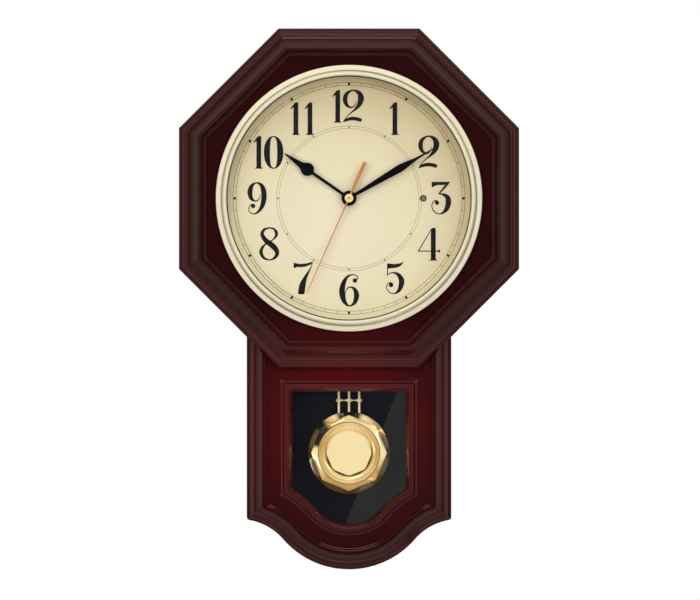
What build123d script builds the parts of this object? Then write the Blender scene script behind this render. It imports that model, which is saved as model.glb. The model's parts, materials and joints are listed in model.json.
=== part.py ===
from build123d import *
import math
import os

os.makedirs("parts", exist_ok=True)

# Octagonal pendulum wall clock, in millimetres. +Z is up, the front faces -Y and the wall is y = 0.
# The origin is the mouth of the keyhole. The functions below build every piece with the dial's
# centre as x = z = 0, and save() lowers it into place. "Depth" is the distance out from the wall.

# ---------------------------------------------------------------- driving sizes
HEAD_WIDTH = 314.0         # octagon, across its flats
HANG_HEIGHT = HEAD_WIDTH / 2 - 39.0    # keyhole above the dial's centre
CASE_WIDTH = 189.2         # pendulum case
CASE_DROP = HEAD_WIDTH / 2 + 185.8     # dial centre to the bottom of the pendulum case
WALL = 2.4                 # moulded walls and panels
SHELL_DEPTH = 30.0         # wall to the seam between the back shell and the front frames
SHELL_INSET = 1.0          # back shell behind the edge of the frames
HEAD_RIM = 14.0            # height of the octagon's side above the seam
HEAD_PANEL = 22.0          # octagon's flat panel above the seam
HEAD_RIDGE = 29.0
CASE_RIM = 6.5
CASE_PANEL = 10.0
CASE_RIDGE = 16.5
COVE_R = 54.0              # hollow corners of the pendulum case
COVE_SETBACK = 7.1         # cove centre outside the case's side
FOOT_R = 80.6              # round bottom of the pendulum case
# The case's sides run up behind the octagon's slanting sides to here
SIDE_RUN_TOP = (CASE_WIDTH - math.sqrt(2) * HEAD_WIDTH) / 2 + 15.4
BEZEL_R = HEAD_WIDTH / 2 - 34.5
DIAL_OPENING_R = BEZEL_R - 4.5
DIAL_R = BEZEL_R + 3.5
DIAL_THICK = 1.0
SIGHT_R = BEZEL_R - 10.9   # visible radius of the dial
GLASS_THICK = 2.0
GLASS_GAP = 8.9            # dial to glass
WINDOW_TOP = -HEAD_WIDTH / 2 - 21.2
WINDOW_INSET = 42.0
PANE_THICK = 1.6
PANE_LAP = 4.0
FIT = 0.05                 # radial clearance of a running fit
EASE = 0.3                 # clearance round a loose piece

MODULE_SIDE = 28.0         # half width of the movement
MODULE_TOP = 28.0
MODULE_FOOT = -62.0
MODULE_DEEP = 16.0
MODULE_WALL = 1.4
WASHER_THICK = 1.5
CELL_R = 7.1               # AA cell
CELL_LENGTH = 50.0
PIVOT_Z = -37.0            # pendulum pivot, below the cell
HANGER_LENGTH = 31.0
BOB_R = 38.2
BOB_Z = 107.2 - CASE_DROP
BOB_THICK = 12.0
ROD_PITCH = 9.5
ROD_R = 1.05
BAR_Z = WINDOW_TOP + 7.0                # hidden top bar of the gridiron
COLLAR_Z = WINDOW_TOP - 8.6            # crosspiece that shows in the window
PENDULUM_DEPTH = 22.0
HOUR_ANGLE, MINUTE_ANGLE, SECOND_ANGLE = 304.8, 59.6, 204.0
HOUR_REACH, MINUTE_REACH, SECOND_REACH = SIGHT_R - 39.5, SIGHT_R - 17.6, SIGHT_R - 16.1
TAIL_REACH = 36.4
HAND_THICK = 0.5
SENSOR_X, SENSOR_R = SIGHT_R - 43.2, 3.1

# Gear train: module and tooth numbers of each pair
ROTOR_M, ROTOR_T, INTER_T = 0.30, 12, 60
INTER_M, INTER_PINION_T, SECOND_T = 0.30, 10, 60
SECOND_M, SECOND_PINION_T, THIRD_T = 0.36, 8, 60
THIRD_M, THIRD_PINION_T, CENTRE_T = 0.34, 8, 64
MINUTE_M, CANNON_T, MINUTE_T = 0.42, 15, 45
HOUR_M, MINUTE_PINION_T, HOUR_T = 0.42, 12, 48
KNOB_T = 15
ADDENDUM, DEDENDUM = 0.75, 1.05        # in modules
TOOTH_PITCH_SHARE, TOOTH_TIP_SHARE = 0.40, 0.16

# ---------------------------------------------------------------- depths worked out from them
PANEL_DEPTH = SHELL_DEPTH + HEAD_PANEL
DIAL_FRONT = PANEL_DEPTH - WALL
DIAL_BACK = DIAL_FRONT - DIAL_THICK
GLASS_BACK = DIAL_FRONT + GLASS_GAP
MODULE_FRONT = DIAL_BACK - WASHER_THICK
MODULE_REAR = MODULE_FRONT - MODULE_DEEP
PANE_FRONT = SHELL_DEPTH + CASE_PANEL - WALL
FOOT_Z = FOOT_R - CASE_DROP
COVE_X = CASE_WIDTH / 2 + COVE_SETBACK
COVE_Z = FOOT_Z - math.sqrt((COVE_R + FOOT_R) ** 2 - COVE_X ** 2)
SEAM = MODULE_FRONT - 4.0              # joint between the movement's two cases

# Layers of the movement, from its rear plate forwards
LAYER = 1.2
ROTOR_LAYER = MODULE_REAR + MODULE_WALL + 0.6
SECOND_LAYER = ROTOR_LAYER + 1.75
PLATE_LAYER = SECOND_LAYER + 1.7
THIRD_LAYER = PLATE_LAYER + 1.6
CENTRE_LAYER = THIRD_LAYER + 1.7
MINUTE_LAYER = CENTRE_LAYER + 1.6
HOUR_LAYER = MINUTE_LAYER + 1.6
ARBOR_R = 0.5
SECOND_ARBOR_R = 0.75
MINUTE_PIPE_R = 1.5
HOUR_PIPE_R = 2.4
BUSH_R = 4.0
BUSH_TOP = DIAL_FRONT + 1.8
HOUR_HAND_DEPTH = DIAL_FRONT + 2.2
HAND_STEP = (GLASS_GAP - 5.7) / 2       # leaves the cap its room under the glass


def away(angle, distance):
    """A point at an angle (degrees, anticlockwise from +X as seen from the front)."""
    return distance * math.cos(math.radians(angle)), distance * math.sin(math.radians(angle))


def mesh_distance(module, teeth_a, teeth_b):
    return module * (teeth_a + teeth_b) / 2


# Arbor positions
THIRD_DIR, INTER_DIR, ROTOR_DIR, MINUTE_DIR, KNOB_STEP = 150.0, 45.0, 30.0, 15.0, 14
THIRD_AT = away(THIRD_DIR, mesh_distance(SECOND_M, SECOND_PINION_T, THIRD_T))
INTER_AT = away(INTER_DIR, mesh_distance(INTER_M, INTER_PINION_T, SECOND_T))
ROTOR_STEP = away(ROTOR_DIR, mesh_distance(ROTOR_M, ROTOR_T, INTER_T))
ROTOR_AT = (INTER_AT[0] + ROTOR_STEP[0], INTER_AT[1] + ROTOR_STEP[1])
MINUTE_AT = away(MINUTE_DIR, mesh_distance(MINUTE_M, CANNON_T, MINUTE_T))
KNOB_DIR = MINUTE_DIR + 180.0 + KNOB_STEP * 360.0 / MINUTE_T
KNOB_OFFSET = away(KNOB_DIR, mesh_distance(MINUTE_M, MINUTE_T, KNOB_T))
KNOB_AT = (MINUTE_AT[0] + KNOB_OFFSET[0], MINUTE_AT[1] + KNOB_OFFSET[1])
COIL_AT = (3.0, 21.6)


# ---------------------------------------------------------------- helpers
def at_depth(shape, depth):
    """Stand a flat drawing (x, z) up at a depth, facing the front."""
    return Plane.XZ.offset(depth).location * shape


def slab(drawing, near, far):
    """Extrude a flat drawing between two depths."""
    return extrude(at_depth(drawing, near), amount=far - near, dir=(0, -1, 0))


def disc(radius, near, far, centre=(0.0, 0.0)):
    return slab(Pos(*centre) * Circle(radius), near, far)


def tube(radius, bore, near, far, centre=(0.0, 0.0)):
    return disc(radius, near, far, centre) - disc(bore, near, far, centre)


def block(x, z, depth):
    """A box from three (low, high) pairs."""
    middle = Pos((x[0] + x[1]) / 2, (z[0] + z[1]) / 2)
    return slab(middle * Rectangle(x[1] - x[0], z[1] - z[0]), depth[0], depth[1])


def turned(points):
    """Turn a (radius, depth) outline about the dial's axis."""
    upright = Plane(origin=(0, 0, 0), x_dir=(1, 0, 0), z_dir=(0, 0, -1))
    return revolve(upright * make_face(Polyline(*points, close=True)), Axis.Y)


def one(shape):
    """The single solid of a finished piece."""
    solids = shape.solids()
    if len(solids) != 1:
        raise ValueError(f"expected one solid, found {len(solids)}")
    return solids[0]


def group(shapes):
    return Compound([one(shape) for shape in shapes])


def save(name, shape):
    lowered = [Pos(0, 0, -HANG_HEIGHT) * solid for solid in shape.solids()]
    export_step(lowered[0] if len(lowered) == 1 else Compound(lowered), f"parts/{name}.step")


# ---------------------------------------------------------------- outlines of the two frames
def head_outline(inset):
    corner_r = (HEAD_WIDTH / 2 - inset) / math.cos(math.pi / 8)
    return Polyline(*[away(22.5 + 45 * k, corner_r) for k in range(8)], close=True)


def case_outline(inset, top=SIDE_RUN_TOP):
    """Straight sides, a hollow cove at each lower corner and a round foot."""
    half = CASE_WIDTH / 2 - inset
    cove_r, foot_r = COVE_R + inset, FOOT_R - inset
    corner_z = COVE_Z + math.sqrt(cove_r ** 2 - (COVE_X - half) ** 2)
    reach = COVE_R + FOOT_R
    join = (COVE_X * foot_r / reach, FOOT_Z + (COVE_Z - FOOT_Z) * foot_r / reach)
    start = math.atan2(corner_z - COVE_Z, half - COVE_X)
    finish = math.atan2(join[1] - COVE_Z, join[0] - COVE_X)
    middle = (start + finish + 2 * math.pi * (finish < start)) / 2
    hollow = (COVE_X + cove_r * math.cos(middle), COVE_Z + cove_r * math.sin(middle))

    def flip(point):
        return -point[0], point[1]

    corner = (half, corner_z)
    return Curve() + [
        Line((-half, top), (half, top)),
        Line((half, top), corner),
        ThreePointArc(corner, hollow, join),
        ThreePointArc(join, (0, FOOT_Z - foot_r), flip(join)),
        ThreePointArc(flip(join), flip(hollow), flip(corner)),
        Line(flip(corner), (-half, top)),
    ]


def stack(outline, steps):
    """A solid through inset outlines, from (inset, depth) steps."""
    return Solid.make_loft([at_depth(outline(inset), depth).wire() for inset, depth in steps], ruled=True)


def moulding(outline, rise, fall):
    """A hollow frame moulding: it rises from the seam to the ridge and falls to its flat panel."""
    solid = stack(outline, rise) - stack(outline, fall)
    hollow = [(inset + WALL, depth - WALL) for inset, depth in rise[1:]]
    hollow = [(WALL, rise[0][1])] + hollow
    thick = [(inset - WALL, depth - WALL) for inset, depth in fall]
    return solid - (stack(outline, hollow) - stack(outline, thick))


HEAD_RISE = [(0, 0), (0, HEAD_RIM), (3.2, 17.0), (6.4, 17.6), (10, 19.6), (14, 23.4),
             (17, 27.2), (18.8, HEAD_RIDGE)]
HEAD_FALL = [(19.8, HEAD_RIDGE), (21.6, 24.4), (25.6, 24.2), (26.9, HEAD_PANEL)]
CASE_RISE = [(0, 0), (0, CASE_RIM), (3.2, 8.4), (6.2, 8.8), (9, 11), (12, 14.4), (13.6, CASE_RIDGE)]
CASE_FALL = [(14.6, CASE_RIDGE), (16.2, 13), (18.2, 12), (19.4, CASE_PANEL)]
BEAD_RISE = [(30.6, CASE_PANEL - WALL), (30.6, 10.6), (33.2, 10.8), (34.4, 13.2), (36.2, 14.4)]
BEAD_FALL = [(37.6, 14.4), (39.0, 13.2), (WINDOW_INSET, CASE_PANEL - WALL)]


def raised(steps):
    return [(inset, SHELL_DEPTH + height) for inset, height in steps]


HEAD_SCREWS = [away(22.5 + 45 * k, HEAD_WIDTH / 2 - 11.0) for k in (0, 1, 2, 3, 4, 7)]
CASE_SCREWS_Z = (WINDOW_TOP - 8.8, 70.8 - CASE_DROP)
CASE_SCREWS = [(sign * (CASE_WIDTH / 2 - 15.0), z) for sign in (-1, 1) for z in CASE_SCREWS_Z]
POST_R, SCREW_R, SCREW_HEAD_R, SCREW_SEAT, SCREW_LENGTH = 4.5, 1.5, 3.2, 16.0, 20.0
POST_TOP = SHELL_DEPTH - 2.0


def frame_posts(places, top):
    posts = [disc(POST_R, POST_TOP, top, place) for place in places]
    holes = [disc(SCREW_R, POST_TOP, SCREW_SEAT + SCREW_LENGTH, place) for place in places]
    return posts, holes


def octagon_frame():
    frame = moulding(head_outline, raised(HEAD_RISE), raised(HEAD_FALL))
    posts, holes = frame_posts(HEAD_SCREWS, PANEL_DEPTH - WALL / 2)
    frame = frame + posts - holes
    return one(frame - disc(DIAL_OPENING_R, SHELL_DEPTH, PANEL_DEPTH + 1))


def surround_outline(inset):
    return case_outline(inset, WINDOW_TOP + WINDOW_INSET - inset)


def lower_case_frame():
    frame = moulding(case_outline, raised(CASE_RISE), raised(CASE_FALL))
    window = surround_outline(WINDOW_INSET)
    frame -= slab(make_face(window), SHELL_DEPTH, SHELL_DEPTH + CASE_RIDGE + 1)
    frame += stack(surround_outline, raised(BEAD_RISE)) - stack(surround_outline, raised(BEAD_FALL))
    posts, holes = frame_posts(CASE_SCREWS, SHELL_DEPTH + CASE_PANEL - WALL / 2)
    frame = frame + posts - holes
    head = slab(make_face(head_outline(0)), 0, PANEL_DEPTH + HEAD_RIDGE)
    return one(frame - head)


# ---------------------------------------------------------------- back shell
KEYHOLE_R, KEYHOLE_SLOT, KEYHOLE_RISE = 5.0, 4.2, 9.0
ACCESS_HALF, ACCESS_TOP, ACCESS_FOOT = 36.0, 34.0, -72.0
MELODY_X, MELODY_Z = -84.0, 2.0
MELODY_HALF_X, MELODY_HALF_Z = 35.0, 32.0
MELODY_REAR, MELODY_FRONT, MELODY_WALL = 1.0, 26.0, 1.6
SPEAKER_AT, SPEAKER_R = (88.0, 2.0), 27.0
GRILLE_SLOT, GRILLE_PITCH = 2.6, 6.0


def shell_prism(inset, near, far):
    prism = slab(make_face(head_outline(inset)), near, far)
    return prism + slab(make_face(case_outline(inset)), near, far)


def grille():
    """Upright slots whose ends follow a circle."""
    reach = SPEAKER_R - 6.0
    count = int(reach // GRILLE_PITCH)
    slots = []
    for k in range(-count, count + 1):
        height = 2 * math.sqrt(reach ** 2 - (k * GRILLE_PITCH) ** 2)
        middle = Pos(SPEAKER_AT[0] + k * GRILLE_PITCH, SPEAKER_AT[1])
        slots.append(slab(middle * SlotOverall(height, GRILLE_SLOT, rotation=90), -1, WALL + 1))
    return slots


def screw_posts(shell, places):
    for place in places:
        shell += disc(POST_R, 0, POST_TOP, place)
        shell -= disc(SCREW_HEAD_R + EASE, 0, SCREW_SEAT, place)
        shell -= disc(SCREW_R + EASE / 2, SCREW_SEAT, POST_TOP, place)
    return shell


def open_dish():
    """Back and sides of the whole clock, before it is parted into two mouldings."""
    return shell_prism(SHELL_INSET, 0, SHELL_DEPTH) - shell_prism(SHELL_INSET + WALL, WALL, SHELL_DEPTH)


def head_prism():
    return slab(make_face(head_outline(SHELL_INSET)), 0, SHELL_DEPTH)


def case_back_shell():
    return one(screw_posts(open_dish() - head_prism(), CASE_SCREWS))


def head_back_shell():
    shell = open_dish() & head_prism()
    shell -= block((-ACCESS_HALF, ACCESS_HALF), (ACCESS_FOOT, ACCESS_TOP), (-1, WALL + 1))
    opening_x = (MELODY_X - MELODY_HALF_X - EASE, MELODY_X + MELODY_HALF_X + EASE)
    opening_z = (MELODY_Z - MELODY_HALF_Z - EASE, MELODY_Z + MELODY_HALF_Z + EASE)
    shell -= block(opening_x, opening_z, (-1, WALL + 1))
    shell -= disc(KEYHOLE_R, -1, WALL + 1, (0, HANG_HEIGHT))
    slot = Pos(0, HANG_HEIGHT + KEYHOLE_RISE / 2) * Rectangle(KEYHOLE_SLOT, KEYHOLE_RISE)
    slot += Pos(0, HANG_HEIGHT + KEYHOLE_RISE) * Circle(KEYHOLE_SLOT / 2)
    shell -= slab(slot, -1, WALL + 1)
    shell -= grille()
    return one(screw_posts(shell, HEAD_SCREWS))


def case_screws():
    screws = []
    for place in HEAD_SCREWS + CASE_SCREWS:
        screw = disc(SCREW_R, SCREW_SEAT, SCREW_SEAT + SCREW_LENGTH - 1, place)
        screw += disc(SCREW_HEAD_R, SCREW_SEAT - 2.2, SCREW_SEAT, place)
        cross = Pos(*place) * (Rectangle(3.6, 0.8) + Rectangle(0.8, 3.6))
        screws.append(screw - slab(cross, SCREW_SEAT - 2.2, SCREW_SEAT - 1.0))
    return group(screws)


# ---------------------------------------------------------------- bezel, glasses and dial
BEZEL_CREST = GLASS_BACK + GLASS_THICK + 3.0
SPIGOT_R = DIAL_OPENING_R - 0.1
GLASS_R = SIGHT_R + 2.0


def bezel_ring():
    front = GLASS_BACK + GLASS_THICK
    return one(turned([
        (GLASS_R + 0.1, DIAL_FRONT), (SPIGOT_R, DIAL_FRONT), (SPIGOT_R, PANEL_DEPTH),
        (BEZEL_R, PANEL_DEPTH), (BEZEL_R, PANEL_DEPTH + 4.4), (BEZEL_R - 1.2, PANEL_DEPTH + 5.4),
        (BEZEL_R - 4.6, PANEL_DEPTH + 5.8), (BEZEL_R - 5.2, PANEL_DEPTH + 5.0),
        (BEZEL_R - 5.8, PANEL_DEPTH + 6.6), (BEZEL_R - 6.4, BEZEL_CREST - 1.6),
        (BEZEL_R - 7.6, BEZEL_CREST - 0.3), (BEZEL_R - 8.6, BEZEL_CREST), (BEZEL_R - 9.8, BEZEL_CREST - 0.7),
        (SIGHT_R, front + 0.6), (SIGHT_R, front), (GLASS_R + 0.1, front)]))


def bezel_clips():
    """Four clips behind the panel's edge that hold the bezel's spigot and the dial."""
    clips = []
    for angle in (45, 135, 225, 315):
        clip = block((DIAL_R + 0.2, DIAL_R + 2.2), (-6, 6), (DIAL_BACK - 1.0, DIAL_FRONT))
        clip += block((DIAL_R - 6, DIAL_R + 2.2), (-6, 6), (DIAL_BACK - 1.0, DIAL_BACK))
        clips.append(Rot(0, angle, 0) * clip)
    return group(clips)


def dial_plate():
    plate = disc(DIAL_R, DIAL_BACK, DIAL_FRONT) - disc(BUSH_R + 0.1, DIAL_BACK, DIAL_FRONT)
    return one(plate - disc(SENSOR_R, DIAL_BACK, DIAL_FRONT, (SENSOR_X, 0)))


def dial_glass():
    return one(disc(GLASS_R, GLASS_BACK, GLASS_BACK + GLASS_THICK))


def window_glass():
    pane = surround_outline(WINDOW_INSET - PANE_LAP)
    return one(slab(make_face(pane), PANE_FRONT - PANE_THICK, PANE_FRONT))


def light_sensor():
    at = (SENSOR_X, 0)
    cell = disc(SENSOR_R - FIT, DIAL_BACK, DIAL_FRONT - 0.3, at) + disc(4.6, DIAL_BACK - 1.6, DIAL_BACK, at)
    return one(cell - disc(1.9, DIAL_FRONT - 0.8, DIAL_FRONT - 0.3, at))


# ---------------------------------------------------------------- movement
def gear(module, teeth, near, far, at=(0.0, 0.0), tooth_at=0.0):
    """A toothed disc with one tooth pointing along tooth_at, in degrees."""
    pitch_r = module * teeth / 2
    tip_r, root_r = pitch_r + ADDENDUM * module, pitch_r - DEDENDUM * module
    step = 360.0 / teeth
    half = TOOTH_PITCH_SHARE * step / 2
    half_tip = math.degrees(TOOTH_TIP_SHARE * math.pi * module / 2 / tip_r)
    points = []
    for k in range(teeth):
        middle = tooth_at + k * step
        points += [away(middle - half, root_r), away(middle - half, pitch_r), away(middle - half_tip, tip_r),
                   away(middle + half_tip, tip_r), away(middle + half, pitch_r), away(middle + half, root_r)]
    return slab(Pos(*at) * make_face(Polyline(*points, close=True)), near, far)


def gap_facing(direction, teeth):
    """Tooth angle that turns a gap towards a direction."""
    return direction + 180.0 / teeth


def windows(module, teeth, near, far, at, rim, hub):
    """Four lightening holes of a wheel."""
    outer = module * teeth / 2 - rim
    radius = (outer - hub) / 2 - 0.4
    holes = []
    for k in range(4):
        x, z = away(45 + 90 * k, (outer + hub) / 2)
        holes.append(disc(radius, near, far, (at[0] + x, at[1] + z)))
    return holes


def rotor():
    at = ROTOR_AT
    piece = gear(ROTOR_M, ROTOR_T, ROTOR_LAYER, ROTOR_LAYER + LAYER, at,
                 gap_facing(ROTOR_DIR + 180.0, ROTOR_T))
    piece += disc(1.2, ROTOR_LAYER + LAYER, SECOND_LAYER, at)
    piece += disc(3.0, SECOND_LAYER, SECOND_LAYER + LAYER, at)
    return one(piece + disc(ARBOR_R, MODULE_REAR + 0.7, PLATE_LAYER + LAYER, at))


def intermediate_wheel():
    at = INTER_AT
    piece = gear(ROTOR_M, INTER_T, ROTOR_LAYER, ROTOR_LAYER + LAYER, at, ROTOR_DIR)
    piece -= windows(ROTOR_M, INTER_T, ROTOR_LAYER, ROTOR_LAYER + LAYER, at, 1.4, 2.0)
    piece += gear(INTER_M, INTER_PINION_T, ROTOR_LAYER + LAYER, SECOND_LAYER + LAYER, at,
                  gap_facing(INTER_DIR + 180.0, INTER_PINION_T))
    return one(piece + disc(ARBOR_R, MODULE_REAR + 0.7, PLATE_LAYER + LAYER, at))


def second_wheel():
    piece = gear(INTER_M, SECOND_T, SECOND_LAYER, SECOND_LAYER + LAYER, tooth_at=INTER_DIR)
    piece += gear(SECOND_M, SECOND_PINION_T, SECOND_LAYER + LAYER, THIRD_LAYER + LAYER,
                  tooth_at=gap_facing(THIRD_DIR, SECOND_PINION_T))
    top = HOUR_HAND_DEPTH + 2 * HAND_STEP + 1.4
    return one(piece + disc(SECOND_ARBOR_R, MODULE_REAR + 0.7, top))


def third_wheel():
    at = THIRD_AT
    piece = gear(SECOND_M, THIRD_T, THIRD_LAYER, THIRD_LAYER + LAYER, at, THIRD_DIR + 180.0)
    piece -= windows(SECOND_M, THIRD_T, THIRD_LAYER, THIRD_LAYER + LAYER, at, 1.6, 2.2)
    piece += gear(THIRD_M, THIRD_PINION_T, THIRD_LAYER + LAYER, CENTRE_LAYER + LAYER, at,
                  gap_facing(THIRD_DIR + 180.0, THIRD_PINION_T))
    return one(piece + disc(ARBOR_R, PLATE_LAYER, MODULE_FRONT - 0.8, at))


def centre_wheel():
    """Minute wheel of the hands: its pinion and long pipe are one moulding."""
    piece = gear(THIRD_M, CENTRE_T, CENTRE_LAYER, CENTRE_LAYER + LAYER, tooth_at=THIRD_DIR)
    piece += gear(MINUTE_M, CANNON_T, CENTRE_LAYER + LAYER, MINUTE_LAYER + LAYER,
                  tooth_at=gap_facing(MINUTE_DIR, CANNON_T))
    top = HOUR_HAND_DEPTH + HAND_STEP + HAND_THICK + 0.4
    piece += disc(MINUTE_PIPE_R, MINUTE_LAYER, top)
    return one(piece - disc(SECOND_ARBOR_R + FIT, CENTRE_LAYER, top))


def minute_wheel():
    at = MINUTE_AT
    piece = gear(MINUTE_M, MINUTE_T, MINUTE_LAYER, MINUTE_LAYER + 0.9, at, MINUTE_DIR + 180.0)
    piece += gear(HOUR_M, MINUTE_PINION_T, MINUTE_LAYER + 0.9, HOUR_LAYER + LAYER, at,
                  gap_facing(MINUTE_DIR + 180.0, MINUTE_PINION_T))
    return one(piece + disc(ARBOR_R, PLATE_LAYER, MODULE_FRONT - 0.8, at))


def hour_wheel():
    top = HOUR_HAND_DEPTH + HAND_THICK + 0.3
    piece = gear(HOUR_M, HOUR_T, HOUR_LAYER, HOUR_LAYER + LAYER, tooth_at=MINUTE_DIR)
    piece += disc(HOUR_PIPE_R, HOUR_LAYER, top)
    return one(piece - disc(MINUTE_PIPE_R + FIT, HOUR_LAYER, top))


KNOB_R, KNOB_THICK, KNOB_SHAFT_R = 5.2, 5.0, 1.2


def setting_knob():
    rear = MODULE_REAR - 0.4 - KNOB_THICK
    knob = disc(KNOB_R, rear, rear + KNOB_THICK, KNOB_AT)
    grips = [disc(0.6, rear, rear + KNOB_THICK, (KNOB_AT[0] + x, KNOB_AT[1] + z))
             for x, z in (away(20 * k, KNOB_R + 0.15) for k in range(18))]
    knob = knob - grips + disc(KNOB_SHAFT_R, rear + KNOB_THICK, MODULE_FRONT - 2.4, KNOB_AT)
    pinion = gear(MINUTE_M, KNOB_T, MINUTE_LAYER - 0.2, MINUTE_LAYER + 1.1, KNOB_AT,
                  gap_facing(KNOB_DIR + 180.0, KNOB_T))
    return one(knob + pinion)


def module_outline(inset):
    tall = MODULE_TOP - MODULE_FOOT - 2 * inset
    middle = Pos(0, (MODULE_TOP + MODULE_FOOT) / 2)
    return middle * RectangleRounded(2 * (MODULE_SIDE - inset), tall, 3.0 - inset / 2)


CELL_BAY_TOP, CELL_BAY_FOOT = -12.2, -28.2
CELL_BAY_HALF = 26.2
CELL_PROUD = 0.8                       # the cell stands this far out of the movement's back
CELL_BAY_FLOOR = MODULE_REAR - CELL_PROUD + 2 * CELL_R + 0.15
BEARING_R = 1.4
COIL_R, COIL_HALF = 3.2, 8.5
DRIVE_Z = PIVOT_Z - 15.0


def movement_front_case():
    case = slab(module_outline(0), SEAM, MODULE_FRONT)
    case -= slab(module_outline(MODULE_WALL), SEAM, MODULE_FRONT - MODULE_WALL)
    case += disc(BUSH_R, MODULE_FRONT - MODULE_WALL, BUSH_TOP)
    case -= disc(HOUR_PIPE_R + FIT, SEAM, BUSH_TOP)
    hour_top = HOUR_LAYER + LAYER + 0.3
    for at in (THIRD_AT, MINUTE_AT):
        case += disc(BEARING_R, hour_top, MODULE_FRONT - MODULE_WALL, at)
        case -= disc(ARBOR_R + FIT, hour_top, MODULE_FRONT - 0.7, at)
    return one(case)


def movement_rear_case():
    inner = MODULE_REAR + MODULE_WALL
    case = slab(module_outline(0), MODULE_REAR, SEAM)
    case -= slab(module_outline(MODULE_WALL), inner, SEAM)
    bay = block((-CELL_BAY_HALF - 0.3, CELL_BAY_HALF + 0.3), (CELL_BAY_FOOT - 1, CELL_BAY_TOP + 1),
                (MODULE_REAR, CELL_BAY_FLOOR + 0.8))
    case += bay
    bay_z = (CELL_BAY_FOOT, CELL_BAY_TOP)
    case -= block((-CELL_BAY_HALF, CELL_BAY_HALF), bay_z, (MODULE_REAR, CELL_BAY_FLOOR))
    for at in ((0.0, 0.0), INTER_AT, ROTOR_AT):
        radius = SECOND_ARBOR_R if at == (0.0, 0.0) else ARBOR_R
        case -= disc(radius + FIT, MODULE_REAR + 0.6, inner, at)
    case -= disc(KNOB_SHAFT_R + FIT, MODULE_REAR, inner, KNOB_AT)
    case -= disc(1.2, MODULE_REAR, inner, (0, PIVOT_Z))
    case += tube(3.0, 1.2, MODULE_REAR, SEAM - 2.0, (0, PIVOT_Z))
    return one(case)


def movement_middle_plate():
    """Bridge that carries the rear arbors, notched for the coil and the knob."""
    plate = block((-MODULE_SIDE + 2, MODULE_SIDE - 2), (-10.9, 17.4), (PLATE_LAYER, PLATE_LAYER + LAYER))
    plate -= block((KNOB_AT[0] - 3, MODULE_SIDE), (-11, KNOB_AT[1] + 3), (PLATE_LAYER, PLATE_LAYER + LAYER))
    plate -= disc(SECOND_PINION_T * SECOND_M / 2 + 1.2, PLATE_LAYER, PLATE_LAYER + LAYER)
    for at in (THIRD_AT, MINUTE_AT, INTER_AT, ROTOR_AT):
        plate -= disc(ARBOR_R + FIT, PLATE_LAYER, PLATE_LAYER + LAYER, at)
    for at in ((-MODULE_SIDE + 4, 15.2), (MODULE_SIDE - 3.7, 7.0), (11.5, -9.2)):
        plate += disc(1.5, MODULE_REAR + MODULE_WALL, PLATE_LAYER, at)
    return one(plate)


def stator():
    """Two-legged iron plate round the rotor, ending at the coil."""
    near, far = SECOND_LAYER + 0.1, SECOND_LAYER + 1.1
    plate = block((11.6, 22.0), (8.4, 19.4), (near, far)) + block((11.6, 16.6), (17.0, 24.6), (near, far))
    plate += block((19.4, 25.2), (12.0, 24.6), (near, far))
    plate -= disc(3.5, near, far, ROTOR_AT)
    return one(plate)


def motor_coil():
    """Winding on its iron core, with a bobbin flange at each end."""
    axis_depth = SECOND_LAYER + 2.6
    left, right = COIL_AT[0] - COIL_HALF - 9, COIL_AT[0] + COIL_HALF - 9 + 6
    height = COIL_AT[1]

    def along(radius, low, high):
        section = Plane(origin=(low, -axis_depth, height), z_dir=(1, 0, 0)) * Circle(radius)
        return extrude(section, amount=high - low)

    coil = along(COIL_R, left, right)
    coil += along(COIL_R + 0.5, left, left + 0.8) + along(COIL_R + 0.5, right - 0.8, right)
    core = block((right, 25.2), (20.2, 23.0), (axis_depth - 0.4, axis_depth + 0.6))
    return one(coil + core)


def movement_board():
    return one(block((-25.4, -11.2), (-10.4, 12.5), (ROTOR_LAYER - 0.6, ROTOR_LAYER + 0.2)))


def quartz_crystal():
    section = Plane(origin=(-22, -(ROTOR_LAYER + 1.25), 2), z_dir=(0, 0, 1)) * Circle(1.0)
    return one(extrude(section, amount=6.2))


def lying_cell(centre_x, z, depth):
    """An AA cell along X with its button at the right."""
    left = centre_x - CELL_LENGTH / 2
    end = Plane(origin=(left, -depth, z), z_dir=(1, 0, 0))
    body = extrude(end * Circle(CELL_R), amount=CELL_LENGTH - 1.2)
    button = Plane(origin=(left + CELL_LENGTH - 1.2, -depth, z), z_dir=(1, 0, 0)) * Circle(2.7)
    return one(body + extrude(button, amount=1.2))


CELL_Z = (CELL_BAY_TOP + CELL_BAY_FOOT) / 2
CELL_DEPTH = MODULE_REAR - CELL_PROUD + CELL_R


def movement_cell():
    return lying_cell(0, CELL_Z, CELL_DEPTH)


def contact_plates(left, right, z, low, high):
    """Sprung strips at the two ends of a cell bay."""
    strips = [block((left, left + 0.4), (z - 4, z + 4), (low, high)),
              block((right - 0.4, right), (z - 4, z + 4), (low, high))]
    strips[0] += block((left + 0.4, left + 1.0), (z - 1.5, z + 1.5), (low + 3, high - 3))
    strips[1] += block((right - 1.0, right - 0.4), (z - 1.5, z + 1.5), (low + 3, high - 3))
    return strips


def cell_contacts():
    return group(contact_plates(-CELL_BAY_HALF, CELL_BAY_HALF, CELL_Z, MODULE_REAR + 1, MODULE_REAR + 13))


def bush_washer():
    return one(tube(9.0, BUSH_R + 0.1, MODULE_FRONT, DIAL_BACK))


def bush_nut():
    hexagon = RegularPolygon(6.3, 6) - Circle(BUSH_R)
    return one(slab(hexagon, DIAL_FRONT, DIAL_FRONT + 1.5))


# ---------------------------------------------------------------- hands
def clockwise(drawing, angle):
    return Rot(0, 0, -angle) * drawing


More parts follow.
